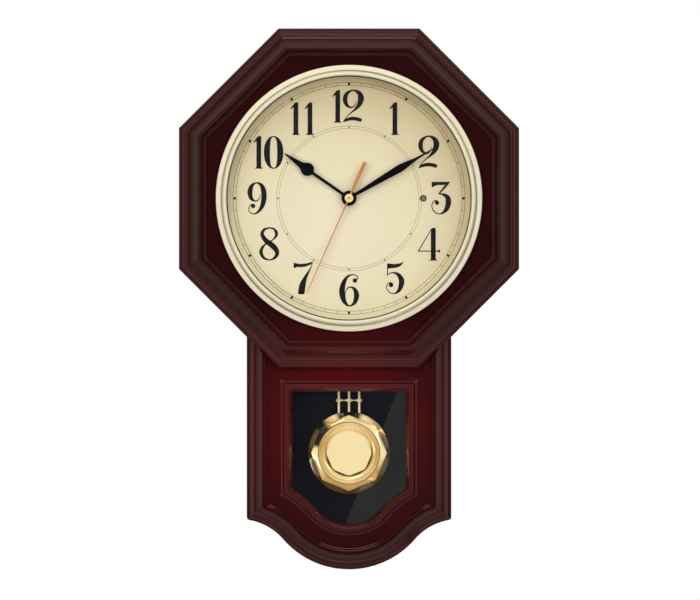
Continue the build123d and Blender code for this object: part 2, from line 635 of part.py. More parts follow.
def hand_plate(drawing, angle, level, bore, hub_r, hub_rise):
    depth = HOUR_HAND_DEPTH + level * HAND_STEP
    plate = slab(clockwise(drawing, angle), depth, depth + HAND_THICK)
    plate += disc(hub_r, depth - 0.2, depth + HAND_THICK + hub_rise)
    return one(plate - disc(bore, depth - 1, depth + HAND_THICK + 2))


def hour_hand():
    """Thin stem, round disc and a long straight-sided point on a hollow neck."""
    disc_at, disc_r, stem = HOUR_REACH - 25.5, 6.1, 1.4
    base, waist = disc_at + 3.6, disc_at + 9.2
    point = Curve() + [Line((-4.6, base), (4.6, base)),
                       ThreePointArc((4.6, base), (3.3, base + 2.7), (2.6, waist)),
                       Line((2.6, waist), (0.5, HOUR_REACH)), Line((0.5, HOUR_REACH), (-0.5, HOUR_REACH)),
                       Line((-0.5, HOUR_REACH), (-2.6, waist)),
                       ThreePointArc((-2.6, waist), (-3.3, base + 2.7), (-4.6, base))]
    drawing = Pos(0, disc_at / 2) * Rectangle(2 * stem, disc_at) + Pos(0, disc_at) * Circle(disc_r)
    return hand_plate(drawing + make_face(point), HOUR_ANGLE, 0, HOUR_PIPE_R, 6.4, 0.0)


def minute_hand():
    """A leaf that widens from the hub, narrows quickly and ends in a needle."""
    widest, neck = MINUTE_REACH - 39.0, MINUTE_REACH - 22.0
    leaf = make_face(Polyline((-1.1, 0), (-3.6, widest), (-1.2, neck), (-0.2, MINUTE_REACH),
                              (0.2, MINUTE_REACH), (1.2, neck), (3.6, widest), (1.1, 0), close=True))
    return hand_plate(leaf, MINUTE_ANGLE, 1, MINUTE_PIPE_R, 7.0, 0.0)


def second_hand():
    needle = make_face(Polyline((-0.7, 0), (-0.4, SECOND_REACH), (0.4, SECOND_REACH), (0.7, 0), close=True))
    tail = make_face(Polyline((-0.8, 0), (-0.8, -8), (-1.6, -11), (-1.6, -TAIL_REACH),
                              (1.6, -TAIL_REACH), (1.6, -11), (0.8, -8), (0.8, 0), close=True))
    return hand_plate(needle + tail, SECOND_ANGLE, 2, SECOND_ARBOR_R, 3.4, 0.2)


def hand_cap():
    low = HOUR_HAND_DEPTH + 2 * HAND_STEP + HAND_THICK + 0.2
    cap = turned([(0, low), (3.9, low), (3.9, low + 0.7), (3.0, low + 1.3), (0, low + 1.5)])
    return one(cap - disc(SECOND_ARBOR_R, low, low + 0.7) - disc(1.2, low + 1.1, low + 2))


# ---------------------------------------------------------------- pendulum
PIN_R = 1.2
LEVER = (PENDULUM_DEPTH + 0.2, PENDULUM_DEPTH + 2.7)
PEG_Z = PIVOT_Z - HANGER_LENGTH + 4.0
PEG_R = 1.5
STRIP_THICK = 1.2


def hanger_pin():
    pin = disc(PIN_R, LEVER[0] - 1.4, MODULE_REAR + MODULE_WALL + 3, (0, PIVOT_Z))
    pin += disc(2.4, LEVER[0] - 1.4, LEVER[0] - 0.4, (0, PIVOT_Z))
    return one(pin + disc(2.4, LEVER[1] + 0.4, LEVER[1] + 1.2, (0, PIVOT_Z)))


def pendulum_hanger():
    foot = PIVOT_Z - HANGER_LENGTH
    lever = block((-3.5, 3.5), (foot, PIVOT_Z), LEVER) + disc(4.5, LEVER[0], LEVER[1], (0, PIVOT_Z))
    lever += disc(6.6, LEVER[0], LEVER[1], (0, DRIVE_Z))
    lever += disc(PEG_R, LEVER[0] - STRIP_THICK - 0.8, LEVER[0], (0, PEG_Z))
    return one(lever - disc(PIN_R + FIT, LEVER[0], LEVER[1], (0, PIVOT_Z)))


def hanger_magnet():
    return one(disc(5.5, LEVER[1], LEVER[1] + 3.0, (0, DRIVE_Z)))


def drive_coil():
    return one(tube(8.0, 2.5, MODULE_REAR + MODULE_WALL, MODULE_REAR + MODULE_WALL + 7.0, (0, DRIVE_Z)))


BAR_HALF, BAR_HIGH, BAR_DEEP = 11.0, 3.5, 4.4
COLLAR_R, COLLAR_HIGH = 2.7, 3.2
BOB_BACK = PENDULUM_DEPTH - BOB_THICK / 2
BOB_FRONT = PENDULUM_DEPTH + BOB_THICK / 2


def pendulum_rod():
    """Flat strip that hooks on the hanger's peg and ends in the crossbar."""
    near, far = LEVER[0] - STRIP_THICK, LEVER[0]
    strip = block((-2.5, 2.5), (BAR_Z + BAR_HIGH / 2 - 1.5, PEG_Z), (near, far))
    strip += disc(4.0, near, far, (0, PEG_Z))
    return one(strip - disc(PEG_R + FIT, near, far, (0, PEG_Z)))


def gridiron_bar():
    deep = (PENDULUM_DEPTH - BAR_DEEP / 2, PENDULUM_DEPTH + BAR_DEEP / 2)
    bar = block((-BAR_HALF, BAR_HALF), (BAR_Z - 0.9, BAR_Z + 0.9), (deep[0] + 0.8, deep[1] - 0.8))
    for k in (-1, 0, 1):
        seat_z = (BAR_Z - BAR_HIGH / 2, BAR_Z + BAR_HIGH / 2)
        bar += block((k * ROD_PITCH - 2.7, k * ROD_PITCH + 2.7), seat_z, deep)
        foot = Plane(origin=(k * ROD_PITCH, -PENDULUM_DEPTH, BAR_Z - BAR_HIGH / 2), z_dir=(0, 0, 1))
        bar -= extrude(foot * Circle(ROD_R), amount=1.5)
    slot = block((-2.5, 2.5), (BAR_Z + BAR_HIGH / 2 - 1.5, BAR_Z + 3), (LEVER[0] - STRIP_THICK, LEVER[0]))
    return one(bar - slot)


def rod_end(k):
    """Where a rod stops inside the bob's rim."""
    return BOB_Z + math.sqrt((BOB_R - 5.0) ** 2 - (k * ROD_PITCH) ** 2)


def rod_solid(k, radius, low, high):
    foot = Plane(origin=(k * ROD_PITCH, -PENDULUM_DEPTH, low), z_dir=(0, 0, 1))
    return extrude(foot * Circle(radius), amount=high - low)


def gridiron_collar():
    """Three round collars on the rods, joined by thin links."""
    deep = (PENDULUM_DEPTH - 0.8, PENDULUM_DEPTH + 0.8)
    collar = block((-ROD_PITCH, ROD_PITCH), (COLLAR_Z - 0.5, COLLAR_Z + 0.5), deep)
    for k in (-1, 0, 1):
        knob = rod_solid(k, COLLAR_R, COLLAR_Z - COLLAR_HIGH / 2, COLLAR_Z + COLLAR_HIGH / 2)
        collar += chamfer(knob.edges().filter_by(GeomType.CIRCLE), 0.9)
    return one(collar - [rod_solid(k, ROD_R, COLLAR_Z - COLLAR_HIGH, COLLAR_Z + COLLAR_HIGH) for k in (-1, 0, 1)])


def gridiron_rods():
    top = BAR_Z - BAR_HIGH / 2 + 1.5
    return group([rod_solid(k, ROD_R, rod_end(k), top) for k in (-1, 0, 1)])


BOB_DISC_R = 21.3


def bob_shell():
    """Turned and bevelled front of the bob, with eight flats on its bevel."""
    front = BOB_FRONT
    shell = turned([
        (BOB_R - 3.0, PENDULUM_DEPTH), (BOB_R, PENDULUM_DEPTH), (BOB_R, PENDULUM_DEPTH + 2.0),
        (BOB_R - 1.4, PENDULUM_DEPTH + 3.0), (BOB_R - 9.4, front), (BOB_R - 13.4, front),
        (BOB_DISC_R, front - 2.2), (BOB_DISC_R, front - 3.6), (BOB_DISC_R - 2, front - 3.6),
        (BOB_DISC_R - 2, front - 4.6), (BOB_R - 6.0, front - 4.6)])
    eight = [at_depth(RegularPolygon(radius, 8, major_radius=False, rotation=22.5), depth)
             for radius, depth in ((BOB_R - 2.2, PENDULUM_DEPTH + 2.4), (BOB_R - 11.0, front + 0.3))]
    shell -= disc(BOB_R + 1, PENDULUM_DEPTH + 2.4, front + 0.3) - loft(eight)
    shell = Pos(0, 0, BOB_Z) * shell
    return one(shell - [rod_solid(k, ROD_R, rod_end(k), BOB_Z + BOB_R + 2) for k in (-1, 0, 1)])


def bob_back():
    back = turned([
        (0, BOB_BACK), (BOB_R - 9.0, BOB_BACK), (BOB_R - 1.0, PENDULUM_DEPTH - 2.4),
        (BOB_R - 1.0, PENDULUM_DEPTH), (BOB_R - 3.4, PENDULUM_DEPTH), (BOB_R - 3.4, PENDULUM_DEPTH - 1.6),
        (BOB_R - 10, BOB_BACK + 1.2), (0, BOB_BACK + 1.2)])
    back = Pos(0, 0, BOB_Z) * back
    return one(back - [rod_solid(k, ROD_R, rod_end(k), BOB_Z + BOB_R + 2) for k in (-1, 0, 1)])


def bob_disc():
    front = BOB_FRONT
    disc_shape = turned([(0, front - 3.6), (BOB_DISC_R - 0.05, front - 3.6), (BOB_DISC_R - 0.05, front - 2.2),
                         (BOB_DISC_R - 3, front - 2.4), (0, front - 2.9)])
    return one(Pos(0, 0, BOB_Z) * disc_shape)


# ---------------------------------------------------------------- speaker and melody module
def around(centre, shape):
    return Pos(centre[0], 0, centre[1]) * shape


def speaker_basket():
    r = SPEAKER_R
    basket = turned([(r - 3, WALL), (r, WALL), (r, WALL + 1.6), (r - 2.6, WALL + 1.6), (12, WALL + 9.4),
                     (4, WALL + 9.4), (4, WALL + 8.2), (11.4, WALL + 8.2), (r - 4, WALL + 1.6)])
    basket = around(SPEAKER_AT, basket)
    for k in range(4):
        x, z = away(45 + 90 * k, r - 8.5)
        basket -= disc(3.6, WALL + 2.0, WALL + 9, (SPEAKER_AT[0] + x, SPEAKER_AT[1] + z))
    return one(basket)


def speaker_cone():
    r = SPEAKER_R - 4.4
    cone = turned([(0, WALL + 5.0), (4.5, WALL + 5.4), (7, WALL + 6.6), (r - 2, WALL + 0.9), (r, WALL + 0.9),
                   (r, WALL + 1.3), (r - 2, WALL + 1.4), (7, WALL + 7.2), (0, WALL + 7.2)])
    return one(around(SPEAKER_AT, cone))


def speaker_magnet():
    return one(disc(13.0, WALL + 9.4, WALL + 16.0, SPEAKER_AT))


def speaker_screws():
    """Clamp screws whose heads lap over the speaker's flange."""
    screws = []
    for k in range(3):
        x, z = away(90 + 120 * k, SPEAKER_R + 1.6)
        at = (SPEAKER_AT[0] + x, SPEAKER_AT[1] + z)
        screws.append(disc(1.4, WALL, WALL + 1.6, at) + disc(3.0, WALL + 1.6, WALL + 3.4, at))
    return group(screws)


SWITCH_X, BUTTON_X, CONTROL_Z = MELODY_X - 18.0, MELODY_X + 16.0, MELODY_Z - MELODY_HALF_Z + 8.0
SWITCH_SLOT = (10.0, 4.4)
SWITCH_TRAVEL = 3.0
BUTTON_R, BUTTON_TRAVEL = 3.6, 1.0
BAY_HALF_X, BAY_HIGH, BAY_DEEP = 26.6, 32.0, 15.6
BAY_Z = MELODY_Z + MELODY_HALF_Z - 4.0 - BAY_HIGH / 2
CONTROL_DEEP = 3.0


def melody_box(inset, near, far):
    drawing = Pos(MELODY_X, MELODY_Z) * Rectangle(2 * (MELODY_HALF_X - inset), 2 * (MELODY_HALF_Z - inset))
    return slab(drawing, near, far)


def melody_case():
    """Box that is open at the front, with a cell bay let into its rear wall."""
    inner = MELODY_REAR + MELODY_WALL
    case = melody_box(0, MELODY_REAR, MELODY_FRONT) - melody_box(MELODY_WALL, inner, MELODY_FRONT)
    bay_x = (MELODY_X - BAY_HALF_X, MELODY_X + BAY_HALF_X)
    bay_z = (BAY_Z - BAY_HIGH / 2, BAY_Z + BAY_HIGH / 2)
    wall = MELODY_WALL
    case += block((bay_x[0] - wall, bay_x[1] + wall), (bay_z[0] - wall, bay_z[1] + wall),
                  (MELODY_REAR, MELODY_REAR + BAY_DEEP + wall))
    case -= block(bay_x, bay_z, (MELODY_REAR, MELODY_REAR + BAY_DEEP))
    half = SWITCH_SLOT[0] / 2
    case -= block((SWITCH_X - half, SWITCH_X + half),
                  (CONTROL_Z - SWITCH_SLOT[1] / 2, CONTROL_Z + SWITCH_SLOT[1] / 2), (MELODY_REAR, inner))
    case -= disc(BUTTON_R + 0.15, MELODY_REAR, inner, (BUTTON_X, CONTROL_Z))
    return one(case)


def sound_switch():
    """Slide knob at the off end of its slot, on a plate inside the wall."""
    inner = MELODY_REAR + MELODY_WALL
    x = SWITCH_X - SWITCH_TRAVEL / 2
    half = (SWITCH_SLOT[0] - SWITCH_TRAVEL) / 2 - 0.3
    high = SWITCH_SLOT[1] / 2 - 0.2
    knob = block((x - half, x + half), (CONTROL_Z - high, CONTROL_Z + high), (0.2, inner + 0.3))
    plate = block((x - half - 2, x + half + 2), (CONTROL_Z - high - 1, CONTROL_Z + high + 1),
                  (inner + 0.3, inner + 1.3))
    return one(knob + plate)


def tune_button():
    inner = MELODY_REAR + MELODY_WALL
    at = (BUTTON_X, CONTROL_Z)
    return one(disc(BUTTON_R, 0.2, inner + 0.2, at) + disc(BUTTON_R + 1.2, inner + 0.2, inner + 1.2, at))


BOARD_DEPTH = MELODY_REAR + BAY_DEEP + MELODY_WALL
BOARD_THICK = 1.6


def melody_board():
    """Board over the bay, with the chip, a capacitor and the two pillars behind the controls."""
    near, far = BOARD_DEPTH, BOARD_DEPTH + BOARD_THICK
    board = melody_box(MELODY_WALL + 1.0, near, far)
    chip = block((MELODY_X - 8, MELODY_X + 2), (MELODY_Z - 4, MELODY_Z + 4), (far, far + 1.6))
    can = disc(3.0, far, far + 5.0, (MELODY_X + 18, MELODY_Z + 8))
    body = block((SWITCH_X - 7.5, SWITCH_X + 7.5), (CONTROL_Z - 4.6, CONTROL_Z + 4.6),
                 (MELODY_REAR + MELODY_WALL + 1.6, near))
    key = block((BUTTON_X - 4, BUTTON_X + 4), (CONTROL_Z - 4, CONTROL_Z + 4),
                (MELODY_REAR + MELODY_WALL + 1.2 + BUTTON_TRAVEL + 0.3, near))
    return one(board + chip + can + body + key)


MELODY_CELLS_Z = [BAY_Z - BAY_HIGH / 4, BAY_Z + BAY_HIGH / 4]
MELODY_CELL_DEPTH = MELODY_REAR + CELL_R + 0.8


def melody_cells():
    return group([lying_cell(MELODY_X, z, MELODY_CELL_DEPTH) for z in MELODY_CELLS_Z])


def melody_cell_springs():
    strips = []
    for z in MELODY_CELLS_Z:
        ends = (MELODY_X - BAY_HALF_X, MELODY_X + BAY_HALF_X)
        strips += contact_plates(*ends, z, MELODY_REAR + 1, MELODY_REAR + 14)
    return group(strips)


LEAD_R = 0.7


def lead(points, radius):
    """A wire of straight runs joined by arcs."""
    path = FilletPolyline(*points, radius=radius)
    start = path.edges()[0]
    section = Plane(origin=start @ 0, z_dir=start % 0) * Circle(LEAD_R)
    return one(sweep(section, path=path))


def sensor_lead():
    board = BOARD_DEPTH + BOARD_THICK
    return lead([(SENSOR_X, -(DIAL_BACK - 1.6), 0), (SENSOR_X, -(DIAL_BACK - 12), 0),
                 (SENSOR_X - 14, -(DIAL_BACK - 16), 44), (-40, -(DIAL_BACK - 16), 46),
                 (MELODY_X + 20, -(board + 10), MELODY_Z + 20), (MELODY_X + 20, -board, MELODY_Z + 20)], 4.0)


def speaker_lead():
    board = BOARD_DEPTH + BOARD_THICK
    start = (SPEAKER_AT[0] - 8, SPEAKER_AT[1])
    return lead([(start[0], -(WALL + 16), start[1]), (start[0], -(WALL + 24), start[1]),
                 (start[0] - 20, -(WALL + 26), 60), (-36, -(WALL + 27), 62),
                 (MELODY_X + 8, -(board + 10), MELODY_Z + 24), (MELODY_X + 8, -board, MELODY_Z + 24)], 4.0)


PIECES = [
    octagon_frame, lower_case_frame, head_back_shell, case_back_shell, case_screws, bezel_ring, bezel_clips,
    dial_plate, dial_glass, window_glass, light_sensor, rotor, intermediate_wheel, second_wheel, third_wheel,
    centre_wheel,
    minute_wheel, hour_wheel, setting_knob, movement_front_case, movement_rear_case,
    movement_middle_plate, stator, motor_coil, movement_board, quartz_crystal, movement_cell,
    cell_contacts, bush_washer, bush_nut, hour_hand, minute_hand, second_hand, hand_cap, hanger_pin,
    pendulum_hanger, hanger_magnet, drive_coil, pendulum_rod, gridiron_bar, gridiron_collar, gridiron_rods,
    bob_shell, bob_back, bob_disc, speaker_basket, speaker_cone, speaker_magnet, speaker_screws, melody_case,
    sound_switch, tune_button, melody_board, melody_cells, melody_cell_springs, sensor_lead, speaker_lead,
]

for piece in PIECES:
    save(piece.__name__, piece())
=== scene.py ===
import bpy
import json
import math
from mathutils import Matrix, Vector


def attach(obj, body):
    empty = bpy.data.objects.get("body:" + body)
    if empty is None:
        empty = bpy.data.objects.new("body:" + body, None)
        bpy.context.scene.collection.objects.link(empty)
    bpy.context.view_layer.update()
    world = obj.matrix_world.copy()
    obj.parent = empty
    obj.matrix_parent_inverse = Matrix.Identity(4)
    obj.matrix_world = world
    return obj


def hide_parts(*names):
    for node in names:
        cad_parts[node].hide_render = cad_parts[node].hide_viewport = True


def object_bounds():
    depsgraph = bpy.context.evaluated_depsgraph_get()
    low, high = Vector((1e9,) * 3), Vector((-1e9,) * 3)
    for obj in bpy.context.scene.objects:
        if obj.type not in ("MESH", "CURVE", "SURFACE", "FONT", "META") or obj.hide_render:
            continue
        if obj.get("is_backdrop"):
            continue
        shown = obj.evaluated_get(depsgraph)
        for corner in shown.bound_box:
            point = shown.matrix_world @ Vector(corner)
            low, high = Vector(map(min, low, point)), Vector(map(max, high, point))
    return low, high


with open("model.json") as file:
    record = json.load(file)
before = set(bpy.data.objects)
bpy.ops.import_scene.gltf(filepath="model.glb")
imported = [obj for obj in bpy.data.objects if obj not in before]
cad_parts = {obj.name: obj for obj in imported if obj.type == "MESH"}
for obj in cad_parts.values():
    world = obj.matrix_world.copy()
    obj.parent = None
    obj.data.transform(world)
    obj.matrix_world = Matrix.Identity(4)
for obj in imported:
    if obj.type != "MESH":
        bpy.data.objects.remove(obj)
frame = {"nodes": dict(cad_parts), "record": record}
loaded_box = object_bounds()

# Lengths below are in millimetres round the dial's centre, and "depth" is the distance from the wall.
MM = 0.001
DIAL_DROP = 118.0
HALF_HEAD = 157.0
HALF_CASE, CASE_DROP = 94.6, 342.8
COVE_R, COVE_X, FOOT_R = 54.0, 101.7, 80.6
FOOT_Z = FOOT_R - CASE_DROP
COVE_Z = FOOT_Z - math.sqrt((COVE_R + FOOT_R) ** 2 - COVE_X ** 2)
WALL = 2.4
WINDOW_TOP, WINDOW_INSET = -178.2, 42.0
DIAL_FRONT = 49.6
PRINT_DEPTH = DIAL_FRONT + 0.03
BOB_Z = -235.6
SENSOR_X = 68.4
HUB_BODY = "second_train"


def point(x, z, depth):
    return Vector((x * MM, -depth * MM, (z - DIAL_DROP) * MM))


def away(angle, distance):
    return distance * math.cos(math.radians(angle)), distance * math.sin(math.radians(angle))


# ------------------------------------------------------------------ finishes
def srgb(red, green, blue):
    def linear(value):
        value /= 255
        return value / 12.92 if value <= 0.04045 else ((value + 0.055) / 1.055) ** 2.4
    return linear(red), linear(green), linear(blue), 1.0


def joined(tree, source, target):
    tree.links.new(source, target)


def finish(name, colour, rough, metal=0.0, coat=0.0, grain=300.0, bump=0.0, mottle=0.0, specular=0.5,
           tint=(1, 1, 1, 1)):
    """A painted, moulded or metal surface with fine grain in its colour, gloss and relief."""
    material = bpy.data.materials.new(name)
    material.use_nodes = True
    tree = material.node_tree
    shader = tree.nodes["Principled BSDF"]
    shader.inputs["Base Color"].default_value = colour
    shader.inputs["Roughness"].default_value = rough
    shader.inputs["Metallic"].default_value = metal
    shader.inputs["Coat Weight"].default_value = coat
    shader.inputs["Coat Roughness"].default_value = 0.04
    shader.inputs["Specular IOR Level"].default_value = specular
    shader.inputs["Specular Tint"].default_value = tint
    where = tree.nodes.new("ShaderNodeTexCoord")
    noise = tree.nodes.new("ShaderNodeTexNoise")
    noise.inputs["Scale"].default_value = grain
    noise.inputs["Detail"].default_value = 4.0
    joined(tree, where.outputs["Object"], noise.inputs["Vector"])
    gloss = tree.nodes.new("ShaderNodeMapRange")
    gloss.inputs["To Min"].default_value = rough * 0.85
    gloss.inputs["To Max"].default_value = min(1.0, rough * 1.15)
    joined(tree, noise.outputs["Fac"], gloss.inputs["Value"])
    joined(tree, gloss.outputs["Result"], shader.inputs["Roughness"])
    if mottle:
        blend = tree.nodes.new("ShaderNodeMix")
        blend.data_type = "RGBA"
        blend.inputs["A"].default_value = [v * (1 - mottle) for v in colour[:3]] + [1]
        blend.inputs["B"].default_value = [min(1, v * (1 + mottle)) for v in colour[:3]] + [1]
        joined(tree, noise.outputs["Fac"], blend.inputs["Factor"])
        joined(tree, blend.outputs["Result"], shader.inputs["Base Color"])
    if bump:
        relief = tree.nodes.new("ShaderNodeBump")
        relief.inputs["Strength"].default_value = bump
        relief.inputs["Distance"].default_value = 0.0002
        joined(tree, noise.outputs["Fac"], relief.inputs["Height"])
        joined(tree, relief.outputs["Normal"], shader.inputs["Normal"])
    return material


def distance_from(tree, x, z):
    """The distance in metres from a line through (x, z) along Y."""
    where = tree.nodes.new("ShaderNodeTexCoord")
    shift = tree.nodes.new("ShaderNodeVectorMath")
    shift.operation = "SUBTRACT"
    shift.inputs[1].default_value = point(x, z, 0)
    flat = tree.nodes.new("ShaderNodeVectorMath")
    flat.operation = "MULTIPLY"
    flat.inputs[1].default_value = (1, 0, 1)
    length = tree.nodes.new("ShaderNodeVectorMath")
    length.operation = "LENGTH"
    joined(tree, where.outputs["Object"], shift.inputs[0])
    joined(tree, shift.outputs["Vector"], flat.inputs[0])
    joined(tree, flat.outputs["Vector"], length.inputs[0])
    return length.outputs["Value"]


def ramp(tree, value, low, high, stops):
    """Colours along a value from low to high; stops are (share, colour)."""
    spread = tree.nodes.new("ShaderNodeMapRange")
    spread.inputs["From Min"].default_value = low
    spread.inputs["From Max"].default_value = high
    colours = tree.nodes.new("ShaderNodeValToRGB")
    for k, (share, colour) in enumerate(stops):
        stop = colours.color_ramp.elements[k] if k < 2 else colours.color_ramp.elements.new(share)
        stop.position = share
        stop.color = colour
    joined(tree, value, spread.inputs["Value"])
    joined(tree, spread.outputs["Result"], colours.inputs["Fac"])
    return colours.outputs["Color"]


def dial_paper():
    material = finish("dial_print", srgb(222, 206, 166), 0.55, specular=0.3)
    tree = material.node_tree
    # Painted shade: the paper is lightest at a point below and left of the centre and darker towards the
    # bezel and the top.
    stops = [(0.0, srgb(225, 213, 185)), (1.0, srgb(190, 172, 132)), (0.55, srgb(217, 205, 170))]
    colour = ramp(tree, distance_from(tree, -14, -32), 0.0, 0.145, stops)
    joined(tree, colour, tree.nodes["Principled BSDF"].inputs["Base Color"])
    return material


def clear_glass():
    material = finish("clear_glass", (0.98, 0.99, 0.99, 1), 0.02)
    tree = material.node_tree
    shader = tree.nodes["Principled BSDF"]
    for link in list(shader.inputs["Roughness"].links):
        tree.links.remove(link)
    shader.inputs["Roughness"].default_value = 0.0
    shader.inputs["Transmission Weight"].default_value = 1.0
    shader.inputs["IOR"].default_value = 1.45
    return material


def painted_walnut():
    """Deep red lacquer, redder towards the window of the lower case and browner on the head."""
    red, brown = (0.100, 0.0055, 0.0075, 1), (0.030, 0.0040, 0.0034, 1)
    material = finish("walnut_case", brown, 0.14, grain=160, specular=0.55, tint=(1.0, 0.6, 0.55, 1))
    tree = material.node_tree
    stops = [(0.0, red), (1.0, brown), (0.45, (0.058, 0.0048, 0.0058, 1))]
    colour = ramp(tree, distance_from(tree, -6, -206), 0.045, 0.125, stops)
    joined(tree, colour, tree.nodes["Principled BSDF"].inputs["Base Color"])
    return material


def turned_gold(name, stops, metal=0.25):
    """Polished gold with painted reflections: lit and dark tones painted round the bob, from its lowest
    point clockwise, that move with it.
    """
    material = finish(name, stops[0][1], 0.16, metal=metal, coat=0.3)
    tree = material.node_tree
    where = tree.nodes.new("ShaderNodeTexCoord")
    parts = tree.nodes.new("ShaderNodeSeparateXYZ")
    joined(tree, where.outputs["Object"], parts.inputs["Vector"])
    above = tree.nodes.new("ShaderNodeMath")
    above.operation = "SUBTRACT"
    above.inputs[1].default_value = (BOB_Z - DIAL_DROP) * MM
    joined(tree, parts.outputs["Z"], above.inputs[0])
    turn = tree.nodes.new("ShaderNodeMath")
    turn.operation = "ARCTAN2"
    joined(tree, parts.outputs["X"], turn.inputs[0])
    joined(tree, above.outputs["Value"], turn.inputs[1])
    colour = ramp(tree, turn.outputs["Value"], -math.pi, math.pi, stops)
    joined(tree, colour, tree.nodes["Principled BSDF"].inputs["Base Color"])
    return material


def cell_wrap():
    """Dark sleeve with a copper-coloured end."""
    material = finish("cell_wrap", srgb(34, 34, 38), 0.3, metal=0.2)
    tree = material.node_tree
    where = tree.nodes.new("ShaderNodeTexCoord")
    parts = tree.nodes.new("ShaderNodeSeparateXYZ")
    joined(tree, where.outputs["Object"], parts.inputs["Vector"])
    wrapped = tree.nodes.new("ShaderNodeMath")
    wrapped.operation = "PINGPONG"
    wrapped.inputs[1].default_value = 0.042
    joined(tree, parts.outputs["X"], wrapped.inputs[0])
    black, copper = srgb(34, 34, 38), srgb(176, 112, 62)
    stops = [(0.0, black), (1.0, copper), (0.28, black), (0.3, copper)]
    colour = ramp(tree, wrapped.outputs["Value"], 0.0, 0.042, stops)
    joined(tree, colour, tree.nodes["Principled BSDF"].inputs["Base Color"])
    return material


SLOTS = {
    "walnut_case": painted_walnut(),
    "black_shell": finish("black_shell", srgb(15, 15, 18), 0.55, grain=1400, bump=0.5, specular=0.3),
    "pale_gold": finish("pale_gold", (1.0, 0.93, 0.68, 1), 0.25, grain=500, specular=1.0,
                        tint=(1.0, 0.9, 0.7, 1)),
    "dial_print": dial_paper(),
    "clear_glass": clear_glass(),
    "sensor": finish("sensor", srgb(150, 108, 88), 0.35, grain=2500, mottle=0.4),
    "movement_black": finish("movement_black", srgb(26, 26, 28), 0.45, grain=1200, bump=0.3),
    "wheel_plastic": finish("wheel_plastic", srgb(232, 232, 226), 0.4),
    "knob_plastic": finish("knob_plastic", srgb(206, 44, 38), 0.35),
    "steel": finish("steel", srgb(190, 190, 192), 0.28, metal=1.0, grain=900),
    "magnet": finish("magnet", srgb(74, 74, 78), 0.4, metal=0.8),
    "copper_wire": finish("copper_wire", srgb(184, 98, 52), 0.3, metal=0.9, grain=2600, bump=0.6),
    "board": finish("board", srgb(38, 92, 54), 0.4, grain=700, mottle=0.2),
    "brass": finish("brass", srgb(252, 226, 150), 0.2, metal=0.25),
    "rubber_black": finish("rubber_black", srgb(24, 24, 24), 0.8, grain=900, bump=0.3),
    "hand_black": finish("hand_black", srgb(4, 4, 4), 0.4, specular=0.1),
    "hand_copper": finish("hand_copper", srgb(198, 128, 80), 0.3, metal=0.15),
    "cell_wrap": cell_wrap(),
    "bright_gold": finish("bright_gold", srgb(255, 232, 176), 0.18, metal=0.1, coat=0.2),
    "cone_paper": finish("cone_paper", srgb(40, 40, 42), 0.85, grain=1500, bump=0.8),
    "wire_sleeve": finish("wire_sleeve", srgb(190, 36, 30), 0.4),
}
ink = finish("ink", srgb(17, 15, 15), 0.5, specular=0.2)
fine_ink = finish("fine_ink", srgb(60, 50, 40), 0.5, specular=0.2)

for part in frame["record"]["subparts"]:
    node = frame["nodes"][part["node"]]
    node.data.materials.clear()
    node.data.materials.append(SLOTS[part["material_slot"]])


# ------------------------------------------------------------------ meshes
def mesh_piece(name, vertices, faces, material, slot, body="case", sharp=25.0):
    mesh = bpy.data.meshes.new(name)
    mesh.from_pydata(vertices, [], faces)
    mesh.update()
    obj = bpy.data.objects.new(name, mesh)
    bpy.context.scene.collection.objects.link(obj)
    mesh.materials.append(material)
    for face in mesh.polygons:
        face.use_smooth = True
    mesh.set_sharp_from_angle(angle=math.radians(sharp))
    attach(obj, body)
    return obj


def sweep(name, rings, material, slot, looped=True, **rest):
    """A closed moulding through rings of points with equal counts; each ring is (x, z, depth) points."""
    count = len(rings[0])
    vertices = [point(*p) for ring in rings for p in ring]
    faces = []
    for k in range(len(rings)):
        low, high = k * count, (k + 1) % len(rings) * count
        for j in range(count if looped else count - 1):
            step = (j + 1) % count
            faces.append((low + j, low + step, high + step, high + j))
    if not looped:
        faces.append([k * count for k in range(len(rings))])
        faces.append([k * count + count - 1 for k in reversed(range(len(rings)))])
    return mesh_piece(name, vertices, faces, material, slot, **rest)


def level(ring, depth):
    return [(x, z, depth) for x, z in ring]


def lathe(name, profile, material, slot, centre=(0.0, 0.0), segments=160, **rest):
    """A closed (radius, depth) outline turned about an axis along Y."""
    rings = []
    for radius, depth in profile:
        ring = [away(-360 * j / segments, radius) for j in range(segments)]
        rings.append([(centre[0] + x, centre[1] + z, depth) for x, z in ring])
    return sweep(name, rings, material, slot, **rest)


def plate(name, loops, near, far, material, slot, **rest):
    """A flat sheet between two depths, filled inside its loops of (x, z) points; later loops are holes."""
    curve = bpy.data.curves.new(name, "CURVE")
    curve.dimensions = "2D"
    curve.fill_mode = "BOTH"
    curve.extrude = (far - near) * MM / 2
    for loop in loops:
        spline = curve.splines.new("POLY")
        spline.points.add(len(loop) - 1)
        for k, (x, z) in enumerate(loop):
            spline.points[k].co = (x * MM, z * MM, 0, 1)
        spline.use_cyclic_u = True
    drawn = bpy.data.objects.new(name + "_drawn", curve)
    mesh = bpy.data.meshes.new_from_object(drawn)
    middle = (near + far) / 2
    vertices = [point(v.co.x / MM, v.co.y / MM, middle + v.co.z / MM) for v in mesh.vertices]
    faces = [list(face.vertices) for face in mesh.polygons]
    bpy.data.objects.remove(drawn)
    bpy.data.curves.remove(curve)
    bpy.data.meshes.remove(mesh)
    return mesh_piece(name, vertices, faces, material, slot, **rest)


